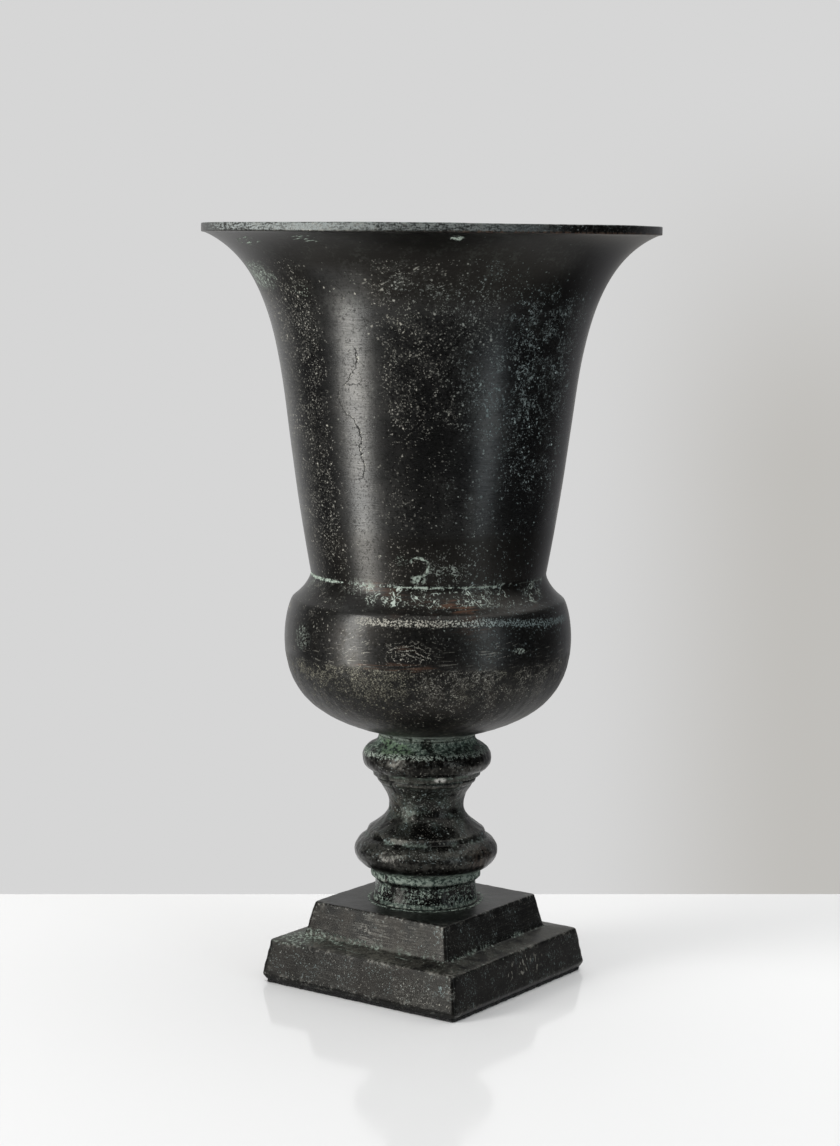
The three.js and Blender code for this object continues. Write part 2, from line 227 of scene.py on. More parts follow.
PLINTH_RIPPLES = ((0.06, 60, 25, -1), (0.02, 14, 26, 0), (0.012, 5, 27, 0))
EDGE_WEAR = (0.05, 7, 28, 1)
UPRIGHT_WEAR = (0.10, 9, 29, 1)
UPRIGHT_BREADTH = 3.0
CRUST_RADIUS = 40.5
CRUST_HEIGHT = 0.9
CRUST_LUMPS = (0.35, 6, 31, 0)
CRUST_SPREAD = 3.0
CRUST_LEAST_SPREAD = 1.5
CRUST_BORDER = (1.4, 13, 30, 0)
PAD_FRAY = ((0.25, 3.5, 51, 0), (0.2, 1.9, 52, 0), (0.25, 12, 53, 0))
PAD_FRAY_SINK = 0.2


def stretch(start, end, shares):
    """Points on a cubic curve; each pull is a share of the way across and of the way up."""
    start = np.array(start, float)
    end = np.array(end, float)
    first, second = (start + (end - start) * np.array(share) for share in shares)
    t = np.linspace(0, 1, CURVE_STEPS)[:, None]
    pulls = 3 * t * (1 - t) ** 2 * first + 3 * t ** 2 * (1 - t) * second
    return (1 - t) ** 3 * start + pulls + t ** 3 * end


def bulge(widest, rounds, turns):
    """An oval arc: its centre is a reach inside the widest point, and turns go up from outwards."""
    reach, height = rounds
    turn = np.linspace(*turns, CURVE_STEPS)
    return np.stack([widest[0] - reach + reach * np.cos(turn), widest[1] + height * np.sin(turn)], 1)


def outline(*runs):
    """One run of points from points and runs of points."""
    return np.concatenate([np.atleast_2d(np.array(run, float)) for run in runs])


def lengths(points):
    """The way gone along the points, up to each of them."""
    return np.concatenate([[0], np.cumsum(np.linalg.norm(np.diff(points, axis=0), axis=1))])


def bell(reach):
    """Weights of a bell-shaped mean over the outline's steps, and how many steps it goes to each side."""
    half = int(3 * reach / OUTLINE_STEP)
    weights = np.exp(-0.5 * (np.arange(-half, half + 1) * OUTLINE_STEP / reach) ** 2)
    return weights / weights.sum(), half


def softened(points, reach, closed=True):
    """Points evened along the outline, each then the mean of its neighbours with a bell's weights."""
    if closed:
        points = np.concatenate([points, points[:1]])
    gone = lengths(points)
    places = np.arange(0, gone[-1], OUTLINE_STEP)
    even = np.stack([np.interp(places, gone, points[:, axis]) for axis in (0, 1)], 1)
    weights, half = bell(reach)
    if closed:
        before, after = even[-half:], even[:half]
    else:
        before, after = 2 * even[0] - even[half:0:-1], 2 * even[-1] - even[-2:-half - 2:-1]
    padded = np.concatenate([before, even, after])
    return np.stack([np.convolve(padded[:, axis], weights, "valid") for axis in (0, 1)], 1)


def bends(points):
    """How sharply a closed outline turns at each point, in radians a millimetre; corners are plus.

    It is the cross product of the steps before and after over the step cubed, evened by a bell.
    """
    before = points - np.roll(points, 1, 0)
    after = np.roll(points, -1, 0) - points
    sharp = (before[:, 0] * after[:, 1] - before[:, 1] * after[:, 0]) / OUTLINE_STEP ** 3
    weights, half = bell(MARK_REACH)
    return np.convolve(np.concatenate([sharp[-half:], sharp, sharp[:half]]), weights, "valid")


def graded(points, count, care):
    """Which points become levels: equal steps of a sum that grows by care and by the outline's bends."""
    growth = np.cumsum(care * (1 + BEND_CARE * np.sqrt(np.abs(bends(points)))))
    return np.searchsorted(growth, np.linspace(0, growth[-1], count, endpoint=False))


def uneven(place, wavelength, seed):
    """A smooth random field of unit spread: the sum of seeded plane waves of about that wavelength."""
    rng = np.random.default_rng(seed)
    ways = rng.normal(size=(WAVE_COUNT, 3))
    ways *= 2 * np.pi / wavelength / np.linalg.norm(ways, axis=1, keepdims=True)
    ways *= rng.uniform(*WAVE_SPREAD, (WAVE_COUNT, 1))
    starts = rng.uniform(0, 2 * np.pi, WAVE_COUNT)
    return np.sin(place @ ways.T + starts).sum(-1) * math.sqrt(2 / WAVE_COUNT)


def waves(place, *rows):
    """Uneven fields added up, from rows of size, wavelength, seed and lift: size times field plus lift."""
    return sum(size * (uneven(place, wavelength, seed) + lift) for size, wavelength, seed, lift in rows)


def full_turn(count):
    """Even turns all the way round, in radians."""
    return np.linspace(0, 2 * np.pi, count, endpoint=False)


def around(reach, turn, height):
    """Points round the axis: the reach times the turn's cosine and sine, and the height."""
    return np.stack(np.broadcast_arrays(reach * np.cos(turn), reach * np.sin(turn), height), -1)


def turned_grid(points, turns, level):
    """Levels times turns: each outline point, a radius and a height, is carried round the axis."""
    return around(points[:, :1], full_turn(turns), points[:, 1:] + level)


def off_flat(turn, sides):
    """How far a turn lies from the middle of the nearest side."""
    half = np.pi / sides
    return np.abs((turn + half) % (2 * half) - half)


def square_reach(turn, half, corner):
    """How far a square with rounded corners reaches at a turn.

    Beside the corners it is half over the cosine. At a corner it is the far crossing of the ray
    with the corner's circle.
    """
    fold = off_flat(turn, 4)
    inner = half - corner
    side = half / np.cos(fold)
    root = np.sqrt(np.maximum(corner ** 2 - inner ** 2 * (1 - np.sin(2 * fold)), 0))
    return np.where(half * np.tan(fold) <= inner, side, inner * (np.cos(fold) + np.sin(fold)) + root)


def square_turns(turns):
    """Turns that crowd towards the corners of a square: an eighth of a turn times 1 - (1 - t) to a power."""
    share = np.linspace(0, 8, turns, endpoint=False)
    octant = np.floor(share)
    part = share - octant
    rising = 1 - (1 - part) ** CORNER_CROWDING
    falling = part ** CORNER_CROWDING
    return (octant + np.where(octant % 2 == 0, rising, falling)) * np.pi / 4


def square_grid(points, corners, turns, level):
    """Levels times turns: each outline point, a half width and a height, goes round with its own corner."""
    turn = square_turns(turns)
    return around(square_reach(turn, points[:, :1], corners[:, None]), turn, points[:, 1:] + level)


def unit(ways):
    """The ways, each made one long."""
    return ways / np.maximum(np.linalg.norm(ways, axis=-1, keepdims=True), 1e-9)


def pushed(grid, push):
    """A grid moved outwards: normals are the way along the turns crossed with the way along the levels."""
    along = np.roll(grid, -1, 1) - np.roll(grid, 1, 1)
    up = np.roll(grid, -1, 0) - np.roll(grid, 1, 0)
    return grid + unit(np.cross(along, up)) * push[..., None]


def way_at(turn):
    """The way out from the axis at a turn in degrees."""
    return math.sin(math.radians(turn)) * RIGHT + math.cos(math.radians(turn)) * FRONT


def turned_reach(outside, foot):
    """The distance from the axis to an outline as a function of turn and height."""
    rising = outside[np.argsort(outside[:, 1])]
    return lambda turn, height: float(np.interp(height - foot, rising[:, 1], rising[:, 0]))


def plinth_reach(turn, height):
    """The distance from the axis to the plinth's faces at a turn and height."""
    levels = np.array([0, LOWER_HEIGHT, LOWER_HEIGHT + TREAD_RISE, PLINTH_HEIGHT])
    halves = np.array([LOWER_HALF, LOWER_TOP_HALF, UPPER_FOOT_HALF, UPPER_TOP_HALF])
    half = np.interp(height - PLINTH_FOOT, levels, halves)
    way = way_at(turn)
    return float(square_reach(math.atan2(way[1], way[0]), half, PLINTH_CORNER))


def surface_turns(place):
    """Turn in degrees from the front and distance from the axis of each point."""
    across = place @ RIGHT
    ahead = place @ FRONT
    return np.degrees(np.arctan2(across, ahead)), np.hypot(across, ahead)


def place_at(turn, radius, height):
    """The place at a turn in degrees, a distance from the axis and a height."""
    return way_at(turn) * radius + np.array([0, 0, height])


def hollowed(place, spots):
    """Small dents: for each spot of turn, height, radius, width and depth, minus the depth times a bell."""
    dent = np.zeros(place.shape[:-1])
    for turn, height, radius, width, depth in spots:
        off = place - place_at(turn, radius, height)
        dent -= depth * np.exp(-(off ** 2).sum(-1) / width ** 2)
    return dent


def make_piece(name, grid, closed, finish, node, marks=None, extra=None, crisp=None):
    """A piece from a grid in millimetres: one face between neighbouring levels and turns.

    Turns close on themselves. Levels do too if closed, and otherwise each end is one flat face.
    Marks are numbers for each grid point that the finish reads. Extra is more points and faces.
    Crisp is the angle in degrees from which edges are sharp.
    """
    levels, turns = grid.shape[:2]
    low = np.arange(levels if closed else levels - 1)[:, None] * turns
    high = (low + turns) % (levels * turns)
    turn = np.arange(turns)
    after = (turn + 1) % turns
    quads = np.stack([low + turn, low + after, high + after, high + turn], -1).reshape(-1, 4)
    corners = [quads.ravel()]
    sizes = [np.full(len(quads), 4)]
    if not closed:
        corners += [turn[::-1], turn + (levels - 1) * turns]
        sizes.append(np.array([turns, turns]))
    points = grid.reshape(-1, 3)
    if extra is not None:
        more_points, more_faces = extra
        corners.append((more_faces + len(points)).ravel())
        sizes.append(np.full(len(more_faces), more_faces.shape[1]))
        points = np.concatenate([points, more_points])
    corners = np.concatenate(corners)
    sizes = np.concatenate(sizes)
    mesh = bpy.data.meshes.new(name)
    mesh.vertices.add(len(points))
    mesh.vertices.foreach_set("co", (points * MM).ravel())
    mesh.loops.add(len(corners))
    mesh.loops.foreach_set("vertex_index", corners)
    mesh.polygons.add(len(sizes))
    mesh.polygons.foreach_set("loop_start", np.concatenate([[0], np.cumsum(sizes)[:-1]]))
    mesh.update(calc_edges=True)
    mesh.validate()
    mesh.shade_smooth()
    if crisp is not None:
        mesh.set_sharp_from_angle(angle=math.radians(crisp))
    for mark, values in (marks or {}).items():
        whole = np.zeros(len(points), np.float32)
        whole[:levels * turns] = np.broadcast_to(values, (levels, turns)).ravel()
        mesh.attributes.new(mark, "FLOAT", "POINT").data.foreach_set("value", whole)
    mesh.materials.append(finish)
    piece = bpy.data.objects.new(name, mesh)
    bpy.context.scene.collection.objects.link(piece)
    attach(piece, BODY)
    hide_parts(node)


def maths(operation, swapped=False):
    """A method of Level that adds a Math node with that operation."""
    def work(level, *others):
        values = (level, *others)
        return level.finish.sum(operation, *(values[::-1] if swapped else values))
    return work


class Level:
    """A number socket in a finish. Its operators add Math nodes, and | takes the larger of two."""

    def __init__(self, finish, socket):
        self.finish = finish
        self.socket = socket

    __add__ = __radd__ = maths("ADD")
    __mul__ = __rmul__ = maths("MULTIPLY")
    __or__ = __ror__ = maths("MAXIMUM")
    __sub__ = maths("SUBTRACT")
    __rsub__ = maths("SUBTRACT", swapped=True)
    __truediv__ = maths("DIVIDE")
    __abs__ = maths("ABSOLUTE")


def largest(levels):
    """The largest of some levels."""
    return functools.reduce(operator.or_, levels)


class Finish:
    """A material, with its nodes made by one method and its places in millimetres."""

    def __init__(self, name, tree=None):
        if tree is None:
            self.material = bpy.data.materials.new(name)
            self.material.use_nodes = True
            tree = self.material.node_tree
        self.tree = tree
        tree.nodes.clear()

    def add(self, kind, settings=None, **values):
        """A node of that kind. Settings come first, then numbers, colours or links for the named sockets.

        A socket's name has _ for a space, and _ with a number is the socket in that place.
        """
        node = self.tree.nodes.new("ShaderNode" + kind)
        for setting, value in (settings or {}).items():
            setattr(node, setting, value)
        for name, value in values.items():
            index = int(name[1:]) if name[1:].isdigit() else name.replace("_", " ")
            self.put(node.inputs[index], value)
        return node

    def put(self, socket, value):
        """Link the socket or set its number or colour."""
        if isinstance(value, Level):
            value = value.socket
        if isinstance(value, bpy.types.NodeSocket):
            self.tree.links.new(value, socket)
        elif hasattr(socket.default_value, "__len__") and len(socket.default_value) == 4:
            socket.default_value = (*value, 1.0)
        else:
            socket.default_value = value

    def sum(self, operation, *values):
        """A Math node on one or two numbers."""
        named = {f"_{index}": value for index, value in enumerate(values)}
        return Level(self, self.add("Math", {"operation": operation}, **named).outputs[0])

    def vectors(self, operation, *values):
        """A Vector Math node."""
        named = {f"_{index}": value for index, value in enumerate(values)}
        return self.add("VectorMath", {"operation": operation}, **named)

    def far(self, across, up):
        """How far it is across and up: the root of the sum of both squares."""
        return self.sum("SQRT", across * across + up * up)

    def rise(self, value, low, high, least=0.0, most=1.0):
        """From least at low to most at high, smoothly. Low may be the higher number."""
        node = self.add("MapRange", {"interpolation_type": "SMOOTHSTEP"}, Value=value, From_Min=low,
                        From_Max=high, To_Min=least, To_Max=most)
        return Level(self, node.outputs[0])

    def rise_straight(self, value, low, high):
        """From 0 at low to 1 at high in a straight line."""
        return Level(self, self.add("MapRange", Value=value, From_Min=low, From_Max=high).outputs[0])

    def band(self, value, low, high, soft):
        """1 between low and high, with soft borders."""
        off = abs(value - (low + high) / 2)
        half = (high - low) / 2
        return self.rise(off, half + soft, max(half - soft, 0.0))

    def places(self, stretch_by=(1, 1, 1)):
        """Object coordinates in millimetres, stretched along each axis."""
        source = self.add("TexCoord").outputs["Object"]
        return self.vectors("MULTIPLY", source, Vector(stretch_by) / MM).outputs[0]

    def along(self, place, way):
        """How far a place lies along a way."""
        return Level(self, self.vectors("DOT_PRODUCT", place, tuple(way)).outputs["Value"])

    def noise(self, place, size, detail=2.0, roughness=0.5, twist=0.0):
        """Cloudy noise with clumps of about that size in millimetres."""
        node = self.add("TexNoise", Vector=place, Scale=1 / size, Detail=detail, Roughness=roughness,
                        Distortion=twist)
        return Level(self, node.outputs["Fac"])

    def mark(self, name):
        """A number that the piece's grid carries."""
        node = self.add("Attribute", {"attribute_type": "GEOMETRY", "attribute_name": name})
        return Level(self, node.outputs["Fac"])

    def blend(self, factor, first, second):
        """From the first colour to the second."""
        node = self.add("Mix", {"data_type": "RGBA"})
        self.put(node.inputs["Factor"], factor)
        self.put(node.inputs[6], first)
        self.put(node.inputs[7], second)
        return node.outputs[2]

    def mix(self, factor, first, second):
        """From the first number to the second."""
        return Level(self, self.add("Mix", _0=factor, _2=first, _3=second).outputs[0])

    def close(self, relief, depth, **values):
        """The shader, with relief in shares of a depth in millimetres as its bump."""
        shader = self.add("BsdfPrincipled", **values)
        bump = self.add("Bump", Height=relief, Distance=depth * MM)
        self.tree.links.new(bump.outputs[0], shader.inputs["Normal"])
        self.add("OutputMaterial", Surface=shader.outputs[0])
        return self.material


# Colours of the bronze and of what has grown on it
BOWL_SKIN = ((0.0330, 0.0330, 0.0322), (0.0500, 0.0490, 0.0465))
STEM_SKIN = ((0.0135, 0.0134, 0.0124), (0.0215, 0.0210, 0.0192))
PLINTH_SKIN = ((0.0112, 0.0112, 0.0106), (0.0180, 0.0177, 0.0166))
SKIN_PITS = (0.012, 0.012, 0.011)
FILM_BLACK = (0.0090, 0.0086, 0.0076)
FILM_BROWN = (0.0150, 0.0132, 0.0108)
DUST = (0.034, 0.033, 0.029)
DUST_BROWN = (0.058, 0.056, 0.045)
CRUST_BROWN = (0.026, 0.022, 0.017)
CRUST_OLIVE = (0.031, 0.033, 0.024)
VERDIGRIS_DEEP = (0.032, 0.054, 0.042)
VERDIGRIS_MID = (0.098, 0.132, 0.106)
VERDIGRIS_PALE = (0.310, 0.360, 0.310)
VERDIGRIS_FRESH = (0.105, 0.170, 0.095)
VERDIGRIS_LIGHT = (0.420, 0.475, 0.420)
SPECK_WARM = (0.330, 0.320, 0.275)
SPECK_COOL = (0.250, 0.318, 0.314)
SPECK_BRIGHT = (0.440, 0.525, 0.510)
SPECK_OLIVE = (0.225, 0.217, 0.165)
LIP_DEPOSIT_AND_HIGHLIGHT = (0.215, 0.236, 0.229)
RUST = (0.080, 0.036, 0.018)
CHIP = (0.50, 0.49, 0.45)
WORN_METAL = (0.17, 0.165, 0.145)
PIT_BLACK = (0.006, 0.006, 0.0055)

# The crack on the flare: its foot and head in millimetres, its turn and sway in degrees, and its way
# as shares of height and sway
CRACK_FOOT = 355.0
CRACK_HEAD = 440.0
CRACK_TURN = -38.0
CRACK_SWAY = 12.0
CRACK_WAY = (
    (0.0, 0.73), (0.09, 0.90), (0.23, 0.79), (0.33, 0.875), (0.39, 0.75), (0.46, 0.62), (0.50, 0.36),
    (0.59, 0.125), (0.66, 0.083), (0.72, 0.375), (0.80, 0.625), (0.90, 0.875), (1.0, 0.87),
)

# Steel as a colour and a roughness, and the blacks of rubber and felt
BOLT_STEEL = ((0.42, 0.42, 0.41), 0.32)
NUT_STEEL = ((0.36, 0.36, 0.35), 0.36)
WASHER_STEEL = ((0.45, 0.45, 0.44), 0.30)
SPRING_STEEL = ((0.25, 0.25, 0.26), 0.38)
STEEL_RUST = (0.13, 0.062, 0.03)
RUBBER_BLACK = ((0.012, 0.012, 0.012), (0.035, 0.034, 0.032))
FELT_BLACK = ((0.006, 0.006, 0.006), (0.020, 0.019, 0.018))
FELT_DUST = (0.045, 0.043, 0.04)


class Patina(Finish):
    """The bronze finish, with the places on a turned piece and the layers of its patina."""

    def __init__(self, name, skin, brushed, reach):
        super().__init__(name)
        self.reach = reach
        self.place = self.places()
        self.height = self.along(self.place, (0, 0, 1))
        across = self.along(self.place, RIGHT)
        ahead = self.along(self.place, FRONT)
        self.radius = self.far(across, ahead)
        self.turn = self.sum("ARCTAN2", across, ahead) * (180 / math.pi)
        self.arc = self.turn * self.radius * (math.pi / 180)
        self.edge = self.mark("edge")
        self.crevice = self.mark("crevice")
        self.broad = self.noise(self.place, 42, 2.0, 0.6)
        self.patchy = self.noise(self.place, 11, 3.0, 0.6)
        self.coarse = self.noise(self.place, 2.4, 2.0, 0.6)
        self.fine = self.noise(self.place, 1.1, 1.0, 0.5)
        self.lines = self.noise(self.places((0.08, 0.08, 1.5)), 1.0, 3.0, 0.7)
        self.wander = (self.patchy - 0.5) * 10
        self.ragged = self.wander * 0.14
        self.clumps = self.rise(self.patchy, 0.34, 0.66, 0.3, 1.7)
        cloud = self.add("TexNoise", Vector=self.place, Scale=0.8, Detail=1.0).outputs["Color"]
        self.scatter = self.vectors("MULTIPLY_ADD", cloud, (1.9, 1.9, 1.9), self.place).outputs[0]
        self.tiny = self.seeds(1.2, 0.20)
        self.small = self.seeds(2.0, 0.17)
        self.large = self.seeds(3.2, 0.14)

        tone = self.blend(self.rise(self.broad + 0.3 * self.patchy, 0.52, 0.86), *skin)
        pitted = self.rise(self.coarse * 0.6 + self.fine * 0.4, 0.50, 0.36, 0.0, 0.55)
        tone = self.blend(pitted, tone, SKIN_PITS)
        self.colour = self.blend(self.rise(self.lines, 0.44, 0.70, 0.0, brushed), tone, SKIN_PITS)
        self.metallic = 0.93
        self.roughness = 0.275 + 0.10 * (self.broad - 0.5) + 0.34 * brushed * (self.lines - 0.5)
        self.relief = self.coarse * 0.10 + self.fine * 0.05 + self.lines * (0.10 * brushed)

    def spot(self, turn, height, wide, tall):
        """An uneven oval patch round a place on the surface, half as wide and as tall as given."""
        centre = place_at(turn, self.reach(turn, height), height)
        off = self.vectors("SUBTRACT", self.place, tuple(centre)).outputs[0]
        share = self.vectors("DIVIDE", off, (wide, wide, tall)).outputs[0]
        far = Level(self, self.vectors("LENGTH", share).outputs["Value"])
        return self.rise(far + self.ragged, 1.15, 0.55)

    def between(self, turn_low, turn_high, soft=6.0):
        """1 between two turns."""
        return self.band(self.turn, turn_low, turn_high, soft)

    def levels(self, low, high, soft=1.0, wander=0.3):
        """1 between two heights, whose borders wander."""
        return self.band(self.height + self.wander * wander, low, high, soft)

    def field(self, turns, heights):
        """1 between two turns and between two heights, each with the softness of its borders."""
        return self.between(*turns) * self.levels(*heights)

    def strokes(self, slope, length, width):
        """Noise drawn out along the surface into strokes that climb by so many degrees."""
        lean = math.radians(slope)
        along = self.arc * (math.cos(lean) / length) + self.height * (math.sin(lean) / length)
        over = self.height * (math.cos(lean) / width) - self.arc * (math.sin(lean) / width)
        ways = self.add("CombineXYZ", X=along, Y=over)
        return self.noise(ways.outputs[0], 1.0, 1.5, 0.5)

    def seeds(self, spacing, least):
        """Seeds scattered at that spacing: each one's chance, and the speck round it.

        A speck's size and strength vary. Least is the smallest one's reach in shares of the spacing.
        """
        seeds = self.add("TexVoronoi", Vector=self.scatter, Scale=1 / spacing)
        draw = self.add("SeparateColor", Color=seeds.outputs["Color"])
        chance, size, strength = (Level(self, draw.outputs[index]) for index in range(3))
        ragged = Level(self, seeds.outputs["Distance"]) + (self.fine - 0.5) * (0.9 * least)
        near = self.rise(ragged / (size * (least * 1.7) + least), 1.05, 0.5)
        return chance, near * (strength * strength * 0.75 + 0.25)

    def specks(self, seeds, amount, strength=1.0):
        """The specks of a share of the seeds."""
        chance, speck = seeds
        return self.rise(chance + amount, 0.98, 1.02, 0.0, strength) * speck

    def grains(self, crowd, shares, strengths=(1.0, 1.0, 1.0)):
        """Specks of up to three sizes, tiny ones first: the crowd times a share says how many seeds show."""
        kinds = zip((self.tiny, self.small, self.large), shares, strengths)
        return largest(self.specks(seeds, crowd * share, strength) for seeds, share, strength in kinds)

    def threads(self, spacing, breadth):
        """Curly threads where cloudy noise crosses one value."""
        swirl = self.noise(self.place, spacing, 1.5, 0.5, 1.0)
        return self.rise(abs(swirl - 0.52), breadth, breadth * 0.4)

    def lay(self, cover, colour, roughness, metallic=0.0, lift=0.0):
        """One more layer of the patina over the ones before."""
        self.colour = self.blend(cover, self.colour, colour)
        self.roughness = self.mix(cover, self.roughness, roughness)
        self.metallic = self.mix(cover, self.metallic, metallic)
        if lift:
            self.relief = self.relief + cover * lift

    def finish(self):
        """The layers on one shader."""
        return self.close(self.relief, 0.35, Base_Color=self.colour, Metallic=self.metallic,
                          Roughness=self.roughness, Specular_IOR_Level=0.3)


class BowlPatina(Patina):
    """The bowl's finish, with the zones that its layers share."""

    def __init__(self):
        super().__init__("bowl_bronze", BOWL_SKIN, 0.38, turned_reach(bowl_outside(), BOWL_FOOT))
        self.inside = self.mark("inside")
        self.outside = 1 - self.inside
        # Painted sheen: the band of turns where the left lamp's highlight falls; films are kept off it, so
        # the highlight runs on over lighter, glossier skin
        self.highlight_streak = self.between(-40, -19, 4)
        border = self.height + self.wander * 0.6 + (self.coarse - 0.5) * 5
        self.cast = self.rise(border, 234.5, 230.0) * self.outside


def bowl_finish():
    """Turned and burnished above, sand-cast below, with verdigris along the crease and the lip."""
    p = BowlPatina()
    # The films under the lip and on the shoulder thin out in the highlight streak: painted sheen
    under_lip = p.rise(p.height + p.wander * 0.6, 462, 480)
    under_lip = under_lip * (1 - 0.8 * p.highlight_streak * p.rise(p.height, 497, 486))
    low = p.rise(p.height, 210, 192)
    step = p.levels(265, 318, 6) * (1 - p.highlight_streak * 0.6) * 0.7
    p.lay((under_lip * 0.85 | low * 0.8 | step) * p.outside, FILM_BROWN, 0.34, 0.9)
    p.lay(under_lip * p.outside * p.rise(p.turn, -45, -15, 0, 0.5), FILM_BLACK, 0.33, 0.93)
    lay_cast_zone(p)
    lay_dust(p)
    lay_bulb_marks(p)
    lay_crack(p)
    lay_lip(p)
    lay_bowl_verdigris(p)

    # The well is unburnished, with a dusty ring where water has stood
    p.lay(p.inside * p.rise(p.coarse, 0.4, 0.62, 0.35, 0.85), CRUST_BROWN, 0.6, 0.3)
    tide = p.levels(203, 214, 3) * p.rise(p.patchy, 0.4, 0.6)
    p.lay(p.inside * tide * p.rise(p.coarse, 0.42, 0.58, 0, 0.6), VERDIGRIS_MID, 0.85)
    return p.finish()


def lay_cast_zone(p):
    """The bulb's underside keeps its sand-cast skin: black and brown, thick with pale grains."""
    film = p.blend(p.rise(p.patchy + 0.4 * (p.broad - 0.5), 0.42, 0.62), FILM_BLACK, FILM_BROWN)
    p.lay(p.cast * p.rise(p.coarse, 0.40, 0.58, 0.55, 0.95), film, 0.42, 0.8, 0.25)
    p.lay(p.cast * p.rise(p.turn, 22, 45, 0, 0.45), FILM_BLACK, 0.40, 0.9)
    upper = p.rise(p.height, 202, 228)
    front = p.between(-48, 20, 16)
    crowd = (0.19 + 0.52 * upper * (0.25 + 0.75 * front)) * p.rise(p.patchy, 0.36, 0.60, 0.5, 1.5)
    crowd = crowd * p.rise(p.turn, 18, 40, 1, 0.6)
    tone = p.blend(p.rise(p.broad + p.turn * 0.004, 0.42, 0.62), SPECK_OLIVE, SPECK_WARM)
    p.lay(p.grains(crowd, (1.7, 1.0)) * p.cast * 0.8, tone, 0.7)
    worms = p.threads(2.6, 0.030) * upper * p.rise(p.patchy, 0.42, 0.58, 0, 0.5)
    p.lay(worms * p.cast, tone, 0.7)


def lay_dust(p):
    """Specks: fine and warm at the left, larger and cool in the upper middle, dense and blue at the right."""
    right = p.field((31, 66, 5), (345, 474, 12))
    top = p.levels(473, 493, 4) * (p.between(-56, 4, 8) | p.between(-56, 44, 12) * 0.3)
    under = p.levels(497, 516, 2) | p.field((30, 90, 10), (484, 516, 6))
    open_skin = (1 - 0.85 * p.highlight_streak) * (1 - under) * (1 - p.cast)
    # Each field comes with its shares of the tiny, small and large seeds and of the haze
    fields = (
        (1, 0.16, 0.07, 0.015, 0.03),
        (p.field((-90, -44, 4), (296, 475, 10)), 0.86, 0.34, 0.03, 0.1),
        (right, 0.46, 0.32, 0.20, 0.03),
        (p.field((-17, 25, 6), (388, 474, 12)), 0.54, 0.38, 0.30, 0.12),
        (top, 0, 0.28, 0.20, 0.2),
        (p.field((-60, 24, 10), (287, 312, 4)), 0.24, 0.14, 0.08, 0),
        (p.levels(234, 284, 4), 0.16, 0.08, 0.03, 0.1),
        (p.rise(p.broad, 0.46, 0.64), 0.14, 0, 0, 0.1),
    )
    shares = [sum(field * part[size] for field, *part in fields if part[size]) for size in range(3)]
    haze = largest(field * part for field, *_, part in fields if part)
    haze = haze * open_skin * p.rise(p.coarse + 0.5 * p.patchy, 0.56, 0.92) * p.outside
    p.lay(haze, DUST, 0.5, 0.2)
    cool = p.rise(p.broad * 0.5 + p.turn * 0.007, 0.20, 0.48)
    tone = p.blend(cool, SPECK_WARM, p.blend(right, SPECK_COOL, SPECK_BRIGHT))
    p.lay(p.grains(p.clumps * open_skin, shares, (0.75, 0.85, 1.0)), tone, 0.7)

    # The highlight streak, whose bare skin is painted sheen, carries small dark pits
    pits = p.specks(p.tiny, 0.34 * p.clumps) | p.rise(p.fine * 0.6 + p.coarse * 0.4, 0.45, 0.37, 0, 0.35)
    p.lay(pits * p.highlight_streak * p.levels(292, 486, 8) * p.outside * 0.8, PIT_BLACK, 0.6, 0.5)
    wisps = p.rise(p.strokes(20, 6.0, 1.1), 0.58, 0.67) * p.rise(p.coarse, 0.44, 0.58, 0, 0.7)
    wisps = wisps * p.field((-22, 6, 6), (474, 494, 4)) * p.rise(p.patchy, 0.42, 0.54)
    worms = p.threads(5.2, 0.022) * p.field((26, 60, 6), (400, 470, 10))
    worms = worms * p.rise(p.patchy, 0.46, 0.58, 0, 0.5)
    p.lay((wisps | worms) * p.outside, tone, 0.7)


